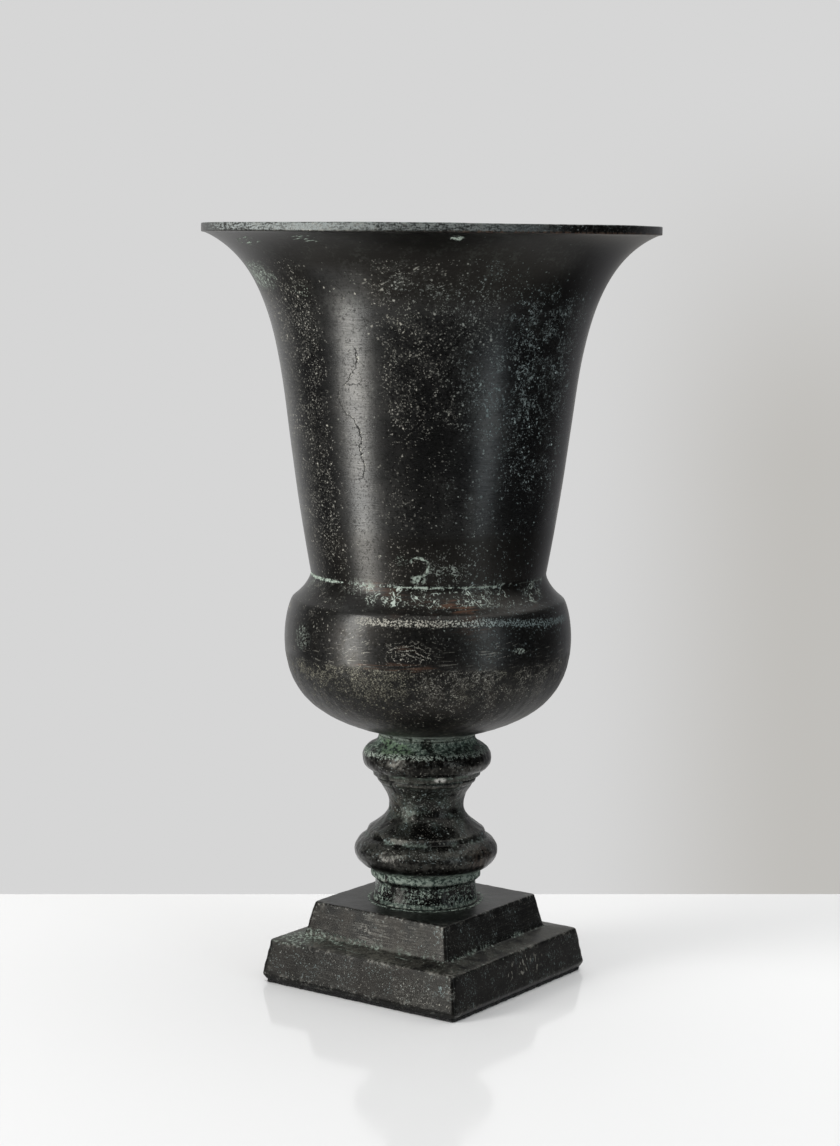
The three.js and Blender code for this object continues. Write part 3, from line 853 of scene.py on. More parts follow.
def lay_bulb_marks(p):
    """Brown stains on the bulb, strokes left by burnishing it, and a pitted band under the shoulder."""
    stain = p.spot(13, 272, 14, 5) * 1.4 | p.spot(-12, 233.5, 30, 3.0) | p.spot(-6.8, 246, 10, 2.4)
    stain = stain | p.rise(p.broad, 0.58, 0.72, 0, 0.45) * p.levels(233, 286, 5)
    drag = p.rise(p.strokes(3, 16, 1.5), 0.46, 0.62, 0, 0.6)
    p.lay(stain * drag * p.outside, RUST, 0.5, 0.3)
    p.lay(p.levels(232, 262, 4) * p.rise(p.patchy, 0.40, 0.60, 0.2, 0.5) * p.outside, FILM_BROWN, 0.36, 0.9)

    ring = p.far((p.arc + 13.0) * (1 / 15), (p.height - 240.0) * (1 / 8)) * 3.1 + (p.coarse - 0.5) * 2.2
    arcs = p.rise(p.sum("PINGPONG", ring, 0.5), 0.12, 0.03, 0, 0.85) * p.spot(-7.8, 243, 18, 8)
    # Each zone comes with its strokes' slope, length and breadth, their noise's two bounds and their strength
    zones = (
        (p.spot(-6, 246, 22, 8), -24, 8, 1.0, 0.62, 0.69, 0.55),
        (p.spot(-30, 248, 15, 14), 28, 7, 1.0, 0.60, 0.67, 0.22),
        (p.spot(30, 244, 22, 8), 12, 9, 1.0, 0.62, 0.69, 0.44),
        (p.levels(231, 246, 2), 2, 14, 0.9, 0.62, 0.70, 0.385),
    )
    scores = largest(zone * p.rise(p.strokes(slope, length, breadth), low, high, 0, strength)
                     for zone, slope, length, breadth, low, high, strength in zones)
    gaps = p.rise(p.fine + 0.5 * p.patchy, 0.58, 0.78)
    p.lay((arcs | scores) * gaps * p.outside, SPECK_WARM, 0.6, 0.1)

    # The band steps down to the right, and its lower border is ragged
    teeth = abs(p.noise(p.place, 2.6, 1.0, 0.5) - 0.5) * 10.4
    band = p.band(p.height + teeth + p.rise(p.turn, 18, 66, 0, 4.5), 261.0, 265.4, 0.5)
    band = band * (p.between(-25, 74, 6) | p.rise(p.broad, 0.52, 0.6)) * p.rise(p.turn, 18, 40, 1, 0.6)
    cells = p.specks(p.tiny, 0.9) | p.rise(p.fine, 0.46, 0.62)
    p.lay(band * p.outside * cells, p.blend(p.rise(p.turn, 0, 40), SPECK_WARM, SPECK_COOL), 0.75)
    lower = p.field((44, 76, 6), (251, 261, 2, 0.6)) * p.specks(p.small, 0.75, 0.8)
    p.lay(lower * p.outside, SPECK_COOL, 0.75)


def lay_crack(p):
    """A hairline crack that wanders down the flare, with a short level branch."""
    track = p.add("FloatCurve", Value=p.rise_straight(p.height, CRACK_FOOT, CRACK_HEAD))
    lay_curve(track, CRACK_WAY)
    jag = (p.noise(p.place, 3.6, 2.0, 0.8) - 0.5) * 6 + (p.fine - 0.5) * 2.0
    off = p.turn - Level(p, track.outputs[0]) * CRACK_SWAY - CRACK_TURN
    off = off * p.radius * (math.pi / 180) + jag
    strand = p.rise(abs(off), 0.50, 0.20) * p.levels(354, 440, 2, 0)
    deep = p.levels(360, 392, 3, 0) | p.levels(430, 440, 2, 0) | p.levels(402, 412, 3, 0)
    strand = strand * (0.50 * deep + p.rise(p.coarse + p.fine * 0.5, 0.56, 0.74, 0.14, 0.50))
    branch = abs(p.height - 416.5 + jag * 0.6 + (p.coarse - 0.5) * 4)
    branch = p.rise(branch, 0.42, 0.15) * p.between(-33, -23, 1.5) * p.rise(p.fine, 0.36, 0.50, 0, 0.4)
    p.lay((strand | branch) * p.outside * 0.9, PIT_BLACK, 0.7, 0.3, -0.5)
    rim = p.rise(abs(off - 0.8), 0.45, 0.1, 0, 0.3) * p.levels(358, 436, 3, 0) * p.rise(p.coarse, 0.50, 0.62)
    p.lay(rim * p.outside, SPECK_WARM, 0.5, 0.4)


def lay_lip(p):
    """The lip's edge: mottled blue-grey from the left to the front, partly painted highlight, dark and thinly
    speckled to the right.
    """
    under = RIM_LEVEL - RIM_DEPTH
    lip = p.rise(p.height, under + 0.3, under + 1.8) * p.rise(p.radius, RIM_RADIUS - 3, RIM_RADIUS - 0.8)
    # Painted highlight and pale deposit: the mottle covers the side towards the left lamp and is strongest
    # there
    left = p.rise(p.turn + p.wander * 1.5, 36, 8) * p.rise(p.turn, -84, -58)
    mottle = p.rise(p.strokes(0, 3.5, 1.0) * 0.8 + p.fine * 0.7 + p.patchy * 0.4, 0.80, 1.10, 0.18)
    left = left * mottle * p.rise(p.turn, -8, -36, 0.80)
    p.lay(lip * (left | p.grains(1, (0.55, 0.3), (0.6, 0.6))), LIP_DEPOSIT_AND_HIGHLIGHT, 0.7)
    top = p.rise(p.height, RIM_LEVEL - 0.8, RIM_LEVEL - 0.2)
    p.lay(top * p.rise(p.coarse + p.patchy, 0.9, 1.2, 0, 0.6), SPECK_COOL, 0.7)
    edges = p.edge * p.rise(p.coarse + p.patchy * 0.6, 0.78, 0.98, 0, 0.4) * p.rise(p.height, 500, 505)
    p.lay(edges, WORN_METAL, 0.4, 0.7)
    reddish = p.between(5, 90, 12) * p.rise(abs(p.height - under - 0.7), 1.1, 0.4)
    p.lay(reddish * p.rise(p.coarse, 0.44, 0.6, 0, 0.6), RUST, 0.5, 0.3)


def lay_bowl_verdigris(p):
    """Verdigris in the crease, a curl that rises from it, filigree on the shoulder, and scattered spots."""
    thick = p.rise(p.turn, -44, -54) | p.between(-8, 5, 3) * 0.6
    nearby = p.height - (BOWL_FOOT + CREASE[1]) + 0.4 + (p.patchy - 0.5) * 2.4 + (p.fine - 0.5) * 1.2
    crease = p.rise(abs(nearby) / (0.5 + 0.8 * thick), 1.1, 0.5) * (1 - 0.85 * p.between(36, 84, 4))
    broken = p.coarse * 0.8 + p.patchy * 0.5 + (thick | p.between(-12, 34, 4) * 0.9) * 0.10
    crease = crease * p.rise(broken, 0.60, 0.72)

    across, up = p.arc + 6.5, p.height - 297.5
    off = p.far(across, up) + (p.fine - 0.5) * 1.5 - 6.6 + (p.coarse - 0.5) * 5.0
    curl = p.rise(abs(off), 1.05, 0.5) * p.rise(across + up * 0.9, -4, 0) * p.rise(p.coarse, 0.42, 0.52, 0.2)
    curl = curl | p.spot(-4.5, 289.0, 5.0, 3.4) * p.rise(p.coarse, 0.42, 0.5)
    tail = p.specks(p.tiny, (p.spot(-13, 302, 6, 4) | p.spot(8, 295, 7, 5)) * 0.9)

    shoulder = p.levels(271.5, 285.5, 1.2) * (p.between(-22, 28, 5) | p.rise(p.broad, 0.50, 0.60, 0, 0.7))
    shoulder = shoulder | p.spot(38, 276, 11, 6)
    filigree = p.threads(5.8, 0.032) * (shoulder | p.field((-2, 16, 4), (286, 299, 2)) * 0.5)
    filigree = filigree * p.rise(p.patchy, 0.44, 0.52) * p.rise(p.coarse, 0.34, 0.42)
    grit = p.grains(shoulder * p.clumps, (0.42, 0.2), (0.8, 0.8))

    gritty = p.coarse * 0.6 + p.fine * 0.5
    blots = p.spot(6, 510.5, 4.4, 2.4) * p.rise(p.coarse + p.fine * 0.4, 0.62, 0.76)
    smears = p.spot(-33, 509.5, 11, 2.8) | p.spot(-57, 508, 15, 2.8)
    blots = blots | smears * p.rise(p.strokes(8, 7, 1.2), 0.52, 0.64, 0, 0.8)
    blots = blots | p.spot(38, 242.5, 7.5, 2.6) * p.rise(gritty, 0.54, 0.64, 0, 0.75)
    cluster = p.spot(-60, 246.5, 12, 9) * 0.45 | p.spot(-71, 486, 28, 11) * 0.95
    dots = p.grains(cluster | p.spot(-46, 477, 12, 5) * 0.6, (0.9, 0.9))
    dots = dots | cluster * p.rise(gritty, 0.53, 0.63, 0, 0.7)
    hollows = p.crevice * p.rise(p.patchy, 0.44, 0.62) * p.rise(p.coarse, 0.44, 0.6, 0, 0.5)
    foot = p.levels(171, 178, 2) * p.rise(p.patchy + 0.4 * p.coarse, 0.55, 0.75, 0, 0.7)
    pale = p.blend(p.rise(p.coarse * 0.6 + p.fine * 0.4, 0.40, 0.56), VERDIGRIS_MID, VERDIGRIS_PALE)
    p.lay((tail | grit | dots | hollows | foot) * p.outside, pale, 0.85)
    p.lay(filigree * p.outside, VERDIGRIS_LIGHT, 0.85)
    p.lay((crease | curl * 0.9 | blots) * p.outside, pale, 0.85, 0.0, 0.35)


def lay_curve(node, points):
    """The points of a node's curve."""
    curve = node.mapping.curves[0]
    curve.points[0].location = points[0]
    curve.points[1].location = points[-1]
    for place in points[1:-1]:
        curve.points.new(*place)
    node.mapping.update()


def stem_finish():
    """Rough cast mouldings: verdigris on the neck, in the grooves and round the foot, black glossy tori."""
    p = Patina("stem_bronze", STEM_SKIN, 0.2, turned_reach(stem_outside(), STEM_FOOT))
    p.roughness = p.roughness - 0.03 + 0.10 * (p.patchy - 0.5)
    p.relief = p.relief + p.coarse * 0.10

    dark_front = p.field((-14, 30, 8), (104, 132, 4))
    olive = largest((
        p.levels(102, 138, 3) * 0.6,
        p.levels(142.8, 148.4, 0.4, 0) * 0.9,
        p.levels(94, 101, 1, 0.1) * 0.5,
        p.levels(138.5, 141.8, 0.4, 0) * 0.7,
    ))
    olive = olive * p.rise(p.patchy, 0.38, 0.56, 0.25) * (1 - 0.8 * dark_front)
    p.lay(olive * p.rise(p.coarse, 0.40, 0.56, 0.45), CRUST_OLIVE, 0.5, 0.15, 0.2)
    # Painted shade: near-black lines along the joins just below, between and just above the two rings
    grooves = largest(p.levels(*edges, 0.3, 0) for edges in ((142.0, 142.9), (137.4, 138.3), (148.5, 149.3)))
    p.lay(grooves * 0.85, PIT_BLACK, 0.6, 0.4)
    tori = p.levels(75, 93, 2, 0.1) | p.levels(150, 164, 2, 0.1)
    p.lay(p.rise(p.patchy + 0.5 * p.coarse, 0.68, 0.88, 0, 0.5) | tori * 0.85, FILM_BLACK, 0.29, 0.9)

    smooth = p.between(-44, -20, 4)
    crowd = (0.32 + p.between(-12, 44, 10) * 0.16 + dark_front * 0.25) * p.clumps
    crowd = crowd * (1 - 0.5 * tori) * (1 - 0.8 * p.levels(55, 72, 1, 0) * smooth)
    crowd = crowd * (1 - 0.6 * p.levels(138, 149, 1, 0))
    tone = p.blend(p.rise(p.patchy, 0.4, 0.6), SPECK_WARM, SPECK_COOL)
    p.lay(p.grains(crowd, (1.4, 0.5), (0.7, 0.8)), tone, 0.7, 0.0, 0.12)

    border = p.height + (p.wander * 0.4 + (p.coarse - 0.5) * 5) + p.rise(p.turn, -70, -20, 0, -2.5)
    green = largest((
        p.rise(border, 159.0, 162.0) * p.rise(p.patchy + 0.3 * p.coarse, 0.54, 0.72, 0.25),
        p.levels(73.0, 79.8, 0.6, 0.12) * p.rise(p.patchy + p.coarse * 0.5, 0.56, 0.76, 0.8),
        p.levels(55, 72, 2) * p.rise(p.coarse * 0.7 + p.fine * 0.5 + p.patchy * 0.5, 0.82, 0.98)
        * (1 - 0.85 * smooth),
        p.levels(55, 59, 1.0) * p.rise(p.patchy + p.coarse * 0.3, 0.52, 0.66),
        p.levels(78.4, 82.0, 0.5, 0.05) * p.rise(p.patchy, 0.36, 0.48),
        p.crevice * p.rise(p.patchy + 0.3 * p.coarse, 0.60, 0.76, 0, 0.55),
    ))
    deep = p.blend(p.rise(p.coarse * 0.7 + p.patchy * 0.5, 0.52, 0.70), VERDIGRIS_DEEP, VERDIGRIS_MID)
    pale = p.rise(p.coarse * 0.7 + 0.7 * p.fine, 0.72, 0.90)
    pale = pale | p.levels(72, 79, 1, 0) * p.rise(p.coarse, 0.44, 0.58, 0, 0.6)
    shade = p.blend(pale * 0.85, deep, VERDIGRIS_PALE)
    p.lay(green * p.rise(p.coarse, 0.38, 0.52, 0.62), shade, 0.85, 0.0, 0.3)

    fresh = p.spot(-36, 166, 14, 6) | p.spot(-60, 172, 12, 4)
    p.lay(fresh * p.rise(p.coarse, 0.42, 0.58, 0, 0.75), VERDIGRIS_FRESH, 0.85)
    rim = p.rise(abs(border - 160.5), 2.2, 0.6) * p.rise(p.fine + 0.5 * p.coarse, 0.70, 0.86, 0, 0.9)
    p.lay(rim, VERDIGRIS_PALE, 0.85, 0.0, 0.3)
    p.lay(p.spot(14, 146.6, 4.8, 2.0) * p.rise(p.coarse + p.fine * 0.5, 0.62, 0.74), CHIP, 0.7, 0.0, 0.3)
    brown = p.spot(52, 92, 16, 10) | p.spot(-60, 128, 12, 14) * 0.6
    p.lay(brown * p.rise(p.coarse, 0.4, 0.6, 0, 0.22), RUST, 0.5, 0.3)
    flaw = p.rise(abs(p.arc - p.radius * math.radians(FLAW_TURN) + (p.coarse - 0.5) * 3), 1.3, 0.4)
    p.lay(flaw * (p.levels(134, 148, 2) | p.levels(72, 79, 1)), PIT_BLACK, 0.8, 0.2, -0.6)
    p.lay(p.edge * p.rise(p.coarse + p.patchy * 0.6, 0.70, 0.92, 0, 0.35), WORN_METAL, 0.4, 0.6)
    return p.finish()


def plinth_finish():
    """Flat cast faces, dressed with a file: worn edges, and verdigris in the inner corners."""
    p = Patina("plinth_bronze", PLINTH_SKIN, 0.45, plinth_reach)
    p.roughness = p.roughness + 0.10 + 0.10 * (p.patchy - 0.5)
    p.relief = p.relief + p.coarse * 0.12 + p.fine * 0.08
    upper_tier = p.levels(33, 54, 2, 0)
    upright = p.levels(4, 27, 2, 0) | upper_tier
    on_top = p.rise(p.height, 55, 55.8)

    # The file has left pale lines, faint everywhere and stronger along the upper tier's left face towards the
    # left lamp, where they are partly painted sheen
    rubbed = p.rise(p.lines + 0.35 * (p.patchy - 0.5), 0.48, 0.60)
    rubbed = rubbed * p.rise(p.coarse * 0.5 + p.fine * 0.5, 0.42, 0.54, 0.45)
    filed_and_sheen = p.spot(-24, 44, 40, 12) * 0.45 | p.between(-50, -4, 5) * upper_tier * 0.6 | 0.25
    p.lay(rubbed * upright * filed_and_sheen * 0.5, WORN_METAL, 0.45, 0.4)
    p.lay(p.rise(p.broad + 0.4 * p.patchy, 0.62, 0.86, 0, 0.6), FILM_BROWN, 0.42, 0.75)
    p.lay(p.levels(3, 28, 2, 0) * 0.55 | on_top * 0.4, FILM_BLACK, 0.38, 0.9)
    p.lay(p.spot(-16, 15, 34, 16) * 0.6, FILM_BLACK, 0.40, 0.9)

    right_faces = p.between(4, 100, 8)
    crowd = (0.26 + 0.06 * right_faces) * p.clumps * (1 - 0.6 * p.levels(34, 54, 2, 0) * (1 - right_faces))
    tone = p.blend(p.rise(p.patchy, 0.40, 0.6), SPECK_WARM, SPECK_COOL)
    p.lay(p.grains(crowd, (1.5, 0.16), (0.38, 0.45)), tone, 0.7, 0.0, 0.1)

    # Dashes left by drips and the file stand upright on the right faces
    runs = p.rise(p.noise(p.places((1.5, 1.5, 0.22)), 1.3, 1.0, 0.5), 0.66, 0.72, 0, 0.7)
    p.lay(runs * right_faces * upright * p.rise(p.patchy, 0.46, 0.6), SPECK_COOL, 0.65)
    slants = p.rise(p.noise(p.places((1.0, 1.0, 0.5)), 2.2, 1.0, 0.5), 0.60, 0.68, 0, 0.6)
    p.lay(slants * p.spot(58, 19, 22, 8), SPECK_WARM, 0.6, 0.2)

    # A crust runs round the stem's foot and along the foot of the upper tier
    p.lay(p.rise(p.radius, 39.0, 37.5, 0, 0.8) * on_top, FILM_BLACK, 0.6, 0.5)
    ring = p.rise(abs(p.radius - 39.6 + (p.patchy - 0.5) * 5), 1.5, 0.5, 0, 0.9)
    ring = ring * on_top * p.rise(p.coarse + p.patchy * 0.4, 0.58, 0.72)
    stain = p.rise(p.radius + (p.patchy - 0.5) * 20, 52, 40, 0, 0.22) * on_top * p.rise(p.coarse, 0.46, 0.62)
    inner = p.crevice * p.rise(p.patchy * 0.7 + p.coarse * 0.5, 0.60, 0.74, 0, 0.85)
    inner = inner * (0.35 + 0.65 * (p.between(6, 80, 6) | p.between(-90, -10, 8)))
    left_tread = p.grains(p.field((-92, -40, 10), (31.2, 37, 1.0, 0.12)) * p.clumps, (1.1, 0.9, 0.5))
    patch = p.rise(p.coarse * 0.7 + p.fine * 0.4 + p.patchy * 0.3, 0.60, 0.78, 0, 0.8)
    patch = patch * p.spot(-78, 32.5, 22, 5)
    smear = p.rise(p.strokes(-1, 30, 0.4), 0.55, 0.66, 0, 0.8) * p.rise(p.coarse, 0.36, 0.50)
    smear = smear * p.field((-76, -10, 8), (30.8, 34, 0.8, 0))
    right_grit = p.specks(p.tiny, p.field((2, 70, 8), (28, 40, 4)) * 0.7 * p.clumps, 0.8)
    green = ring | stain | inner | left_tread | patch | smear | right_grit
    shade = p.blend(p.rise(p.coarse * 0.7 + p.fine * 0.4, 0.46, 0.62), VERDIGRIS_DEEP, VERDIGRIS_MID)
    shade = p.blend(p.rise(p.coarse + 0.5 * p.fine, 0.74, 0.88, 0, 0.9), shade, VERDIGRIS_PALE)
    p.lay(green, shade, 0.85, 0.0, 0.3)

    left_dust = p.field((-95, -10, 10), (30.0, 35, 0.8, 0)) * p.rise(p.patchy, 0.36, 0.60, 0.55)
    treads = (p.levels(29.8, 33, 0.8, 0) * 0.6 | on_top * 0.1) * p.rise(p.patchy, 0.30, 0.60) | left_dust
    p.lay(treads * (1 - green) * p.rise(p.coarse, 0.36, 0.54, 0.5), DUST_BROWN, 0.6, 0.1)
    worn = p.edge * p.rise(p.coarse * 0.6 + p.patchy * 0.6, 0.60, 0.80)
    scuffed = p.rise(p.coarse * 0.5 + p.fine * 0.6 + p.patchy * 0.3, 0.70, 0.84, 0, 0.12)
    worn = worn | p.spot(-5, 14, 22, 11) * (scuffed | p.specks(p.tiny, 0.8, 0.7))
    worn = worn | p.spot(-41, 44, 9, 3) * p.rise(p.coarse, 0.55, 0.62, 0, 0.3)
    p.lay(worn * 0.7, WORN_METAL, 0.45, 0.2, 0.1)
    return p.finish()


def steel_finish(name, tone, rough):
    """Plain steel with faint turning marks and a little rust."""
    p = Finish(name)
    marks = p.noise(p.places((0.2, 0.2, 2.0)), 0.6, 2.0, 0.6)
    cloud = p.noise(p.places(), 4.0, 3.0, 0.6)
    rust = p.rise(cloud + marks * 0.2, 0.62, 0.76)
    colour = p.blend(p.rise(marks, 0.3, 0.7), tone, tuple(0.75 * part for part in tone))
    colour = p.blend(rust * 0.7, colour, STEEL_RUST)
    return p.close(marks * 0.4 + cloud, 0.04, Base_Color=colour, Metallic=1 - 0.8 * rust,
                   Roughness=rough + 0.4 * rust + 0.1 * (marks - 0.5))


def rubber_finish():
    """Black rubber with a dull bloom."""
    p = Finish("seal_rubber")
    bloom = p.noise(p.places(), 3.0, 3.0, 0.6)
    colour = p.blend(p.rise(bloom, 0.4, 0.7), *RUBBER_BLACK)
    return p.close(bloom, 0.05, Base_Color=colour, Roughness=0.6 + 0.3 * bloom)


def felt_finish():
    """Black pressed felt: a tangle of short fibres."""
    p = Finish("pad_felt")
    tangle = abs(p.noise(p.places(), 0.8, 3.0, 0.7, 2.0) - 0.5) * 4
    dust = p.rise(p.noise(p.places(), 6.0, 3.0, 0.6), 0.55, 0.75, 0, 0.4)
    colour = p.blend(dust, p.blend(tangle, *FELT_BLACK), FELT_DUST)
    return p.close(tangle, 0.2, Base_Color=colour, Roughness=0.95, Sheen_Weight=0.2, Specular_IOR_Level=0.1)


def marks_for(points, rows):
    """Worn corners and inner corners of an outline, each from 0 to 1, for the rows of a grid."""
    sharp = MARK_STRENGTH * bends(points)[rows][:, None]
    return {"edge": np.clip(sharp, 0, 1), "crevice": np.clip(-sharp, 0, 1)}


def bowl_outside():
    """The bowl's outside from the foot up to the rim's underside."""
    bulb_head = (SHOULDER[0] + SHOULDER_STEP, SHOULDER[1] - SHOULDER_STEP)
    return outline(
        (NECK_RADIUS, 0),
        (NECK_RADIUS, BULB_FOOT[1] / 2),
        stretch(BULB, BULB_FOOT, BULB_UNDER_SHARES)[::-1],
        stretch(BULB, bulb_head, BULB_TOP_SHARES),
        stretch(CREASE, SHOULDER, SHOULDER_SHARES)[::-1],
        stretch(CREASE, BELL, THROAT_SHARES),
        stretch(BELL, (RIM_RADIUS - RIM_OVERHANG, BOWL_HEIGHT - RIM_DEPTH), FLARE_SHARES),
    )


def turned_casting(outside, inside, reach, levels, inner_care, turns, foot):
    """A turned casting's grid, which of its levels are outside, and its marks.

    Its outline goes up the outside and back down the inside, where levels lie wider apart.
    """
    points = softened(outline(outside, inside), reach)
    shown = int(lengths(outside)[-1] / OUTLINE_STEP)
    rows = graded(points, levels, np.where(np.arange(len(points)) < shown, 1.0, inner_care))
    return turned_grid(points[rows], turns, foot), (rows < shown)[:, None], marks_for(points, rows)


def rim_nicks():
    """Nicks in the rim's corners, as turn, height, radius, width and depth: two in front, the rest seeded."""
    rng = np.random.default_rng(NICK_SEED)
    nicks = [(9.0, RIM_LEVEL, RIM_RADIUS - 0.5, 1.8, 0.8), (14.0, RIM_LEVEL, RIM_RADIUS - 0.5, 1.5, 0.4)]
    for turn in rng.uniform(-180, 180, NICK_COUNT):
        nicks.append((turn, RIM_LEVEL - rng.choice([0, RIM_DEPTH]), RIM_RADIUS - 0.4,
                      rng.uniform(1.2, 2.6), rng.uniform(0.15, 0.5)))
    return nicks


def make_bowl(finish):
    """Bowl: its outline goes up the outside, over the rim and down the well to the bolt hole.

    The well is the outside moved in by the wall, less the points that lie nearer to it than the wall.
    """
    outside = bowl_outside()
    rim_inner = RIM_RADIUS - RIM_BEAD
    along = unit(np.gradient(outside, axis=0))
    well = outside + BOWL_WALL * np.stack([-along[:, 1], along[:, 0]], 1)
    gap = np.linalg.norm(well[:, None] - outside[None], axis=2).min(1)
    kept = (gap > BOWL_WALL * WALL_LEAST_SHARE) & (well[:, 1] > FLOOR_THICKNESS) & (well[:, 0] < rim_inner)
    well = softened(well[kept][::-1], WELL_REACH, closed=False)
    rim = outline((RIM_RADIUS, BOWL_HEIGHT - RIM_DEPTH), (RIM_RADIUS, BOWL_HEIGHT), (rim_inner, BOWL_HEIGHT))
    hole = outline(
        (well[-1][0] - WELL_REACH, FLOOR_THICKNESS),
        (BOLT_HOLE_RADIUS, FLOOR_THICKNESS),
        (BOLT_HOLE_RADIUS, -SPIGOT_DEPTH),
        (SPIGOT_RADIUS, -SPIGOT_DEPTH),
        (SPIGOT_RADIUS, 0),
    )
    grid, outer, marks = turned_casting(outline(outside, rim), outline(well, hole), CORNER_REACH,
                                        BOWL_LEVELS, WELL_CARE, BOWL_TURNS, BOWL_FOOT)
    cast = outer / (1 + np.exp((grid[..., 2] - CAST_LEVEL) / CAST_BORDER))
    push = waves(grid, BOWL_RIPPLE) - OUT_OF_TRUE * (1 + np.tanh(waves(grid, BOWL_SWAY)))
    push += cast * (waves(grid, *CAST_RIPPLES) - CAST_SINK)
    push += ~outer * waves(grid, WELL_RIPPLE)
    push += hollowed(grid, rim_nicks())
    _, radius = surface_turns(grid)
    push *= radius > NECK_RADIUS + SEAT_MARGIN
    grid = pushed(grid, push)
    grid[..., 2] = np.minimum(grid[..., 2], RIM_LEVEL)
    marks["inside"] = (~outer).astype(float)
    make_piece("bowl_casting", grid, True, finish, "bowl", marks)


def stem_outside():
    """The stem's mouldings from the drum's foot up to the neck."""
    groove = LOWER_RING_RADIUS - RING_GROOVE
    lower_ring_top = UPPER_RING[1] - RING_GROOVE
    lower_ring_bottom = lower_ring_top - LOWER_RING_WIDTH
    neck_foot = (NECK_RADIUS + NECK_FLARE_REACH, STEM_HEIGHT - NECK_FLARE_DROP)
    return outline(
        stretch((DRUM_FOOT_RADIUS, 0), DRUM, DRUM_SHARES),
        BASE_RING,
        (BASE_RING[0], BASE_RING[1] + BASE_RING_WIDTH),
        bulge(LOWER_TORUS, LOWER_TORUS_ROUND, LOWER_TORUS_TURNS),
        (FILLET_RADIUS, COVE_FOOT[1] - FILLET_WIDTH),
        (FILLET_RADIUS - FILLET_LEAN, COVE_FOOT[1] - 1.0),
        stretch(COVE_FOOT, WAIST, COVE_FOOT_SHARES),
        stretch(WAIST, (COVE_HEAD_RADIUS, lower_ring_bottom), COVE_HEAD_SHARES),
        (LOWER_RING_RADIUS - RING_LEAN, lower_ring_bottom),
        (LOWER_RING_RADIUS, lower_ring_top - RING_GROOVE),
        (groove, lower_ring_top),
        (groove, UPPER_RING[1]),
        (UPPER_RING[0] - RING_LEAN, UPPER_RING[1]),
        (UPPER_RING[0], UPPER_RING[1] + UPPER_RING_WIDTH),
        bulge(UPPER_TORUS, UPPER_TORUS_ROUND, UPPER_TORUS_TURNS),
        stretch((NECK_RADIUS, STEM_HEIGHT), neck_foot, NECK_SHARES)[::-1],
    )


def swell(off, breadth):
    """A bell: e to minus the square of off over breadth."""
    return np.exp(-(off / breadth) ** 2)


def make_stem(finish):
    """Stem: its outline goes up the mouldings and down through the socket, the web and the core."""
    socket = SPIGOT_RADIUS + SOCKET_GAP
    socket_floor = STEM_HEIGHT - SOCKET_DEPTH
    core_head = (CORE_HEAD_RADIUS, socket_floor - WEB_THICKNESS)
    core_waist = (CORE_WAIST_RADIUS, WAIST[1])
    inside = outline(
        (socket, STEM_HEIGHT),
        (socket, socket_floor),
        (BOLT_HOLE_RADIUS, socket_floor),
        (BOLT_HOLE_RADIUS, core_head[1]),
        stretch(core_head, core_waist, CORE_SHARES),
        stretch(core_waist, (CORE_FOOT_RADIUS, DRUM[1]), CORE_SHARES),
        (CORE_FOOT_RADIUS, 0),
    )
    grid, outer, marks = turned_casting(stem_outside(), inside, STEM_CORNER_REACH,
                                        STEM_LEVELS, CORE_CARE, STEM_TURNS, STEM_FOOT)
    turn, radius = surface_turns(grid)
    height = grid[..., 2] - STEM_FOOT

    # The flaw is a cut down the rings, and beside it they are battered. Both castings' seats stay true.
    rings = swell(height - UPPER_RING[1], UPPER_RINGS_SPAN)
    rings += swell(height - BASE_RING[1] - 2, BASE_RING_SPAN)
    off = np.radians(turn - FLAW_TURN + waves(grid, FLAW_WANDER)) * radius
    push = waves(grid, *STEM_RIPPLES) - FLAW_DEPTH * rings * swell(off, FLAW_BREADTH)
    push += rings * waves(grid, BATTERING) * swell(turn - BATTERED_TURN, BATTERED_SPAN)
    push *= outer * np.clip(height / FOOT_FADE, 0, 1)
    push *= np.clip((STEM_HEIGHT - height) / HEAD_FADE, 0, 1)
    make_piece("stem_casting", pushed(grid, push), True, finish, "stem", marks)


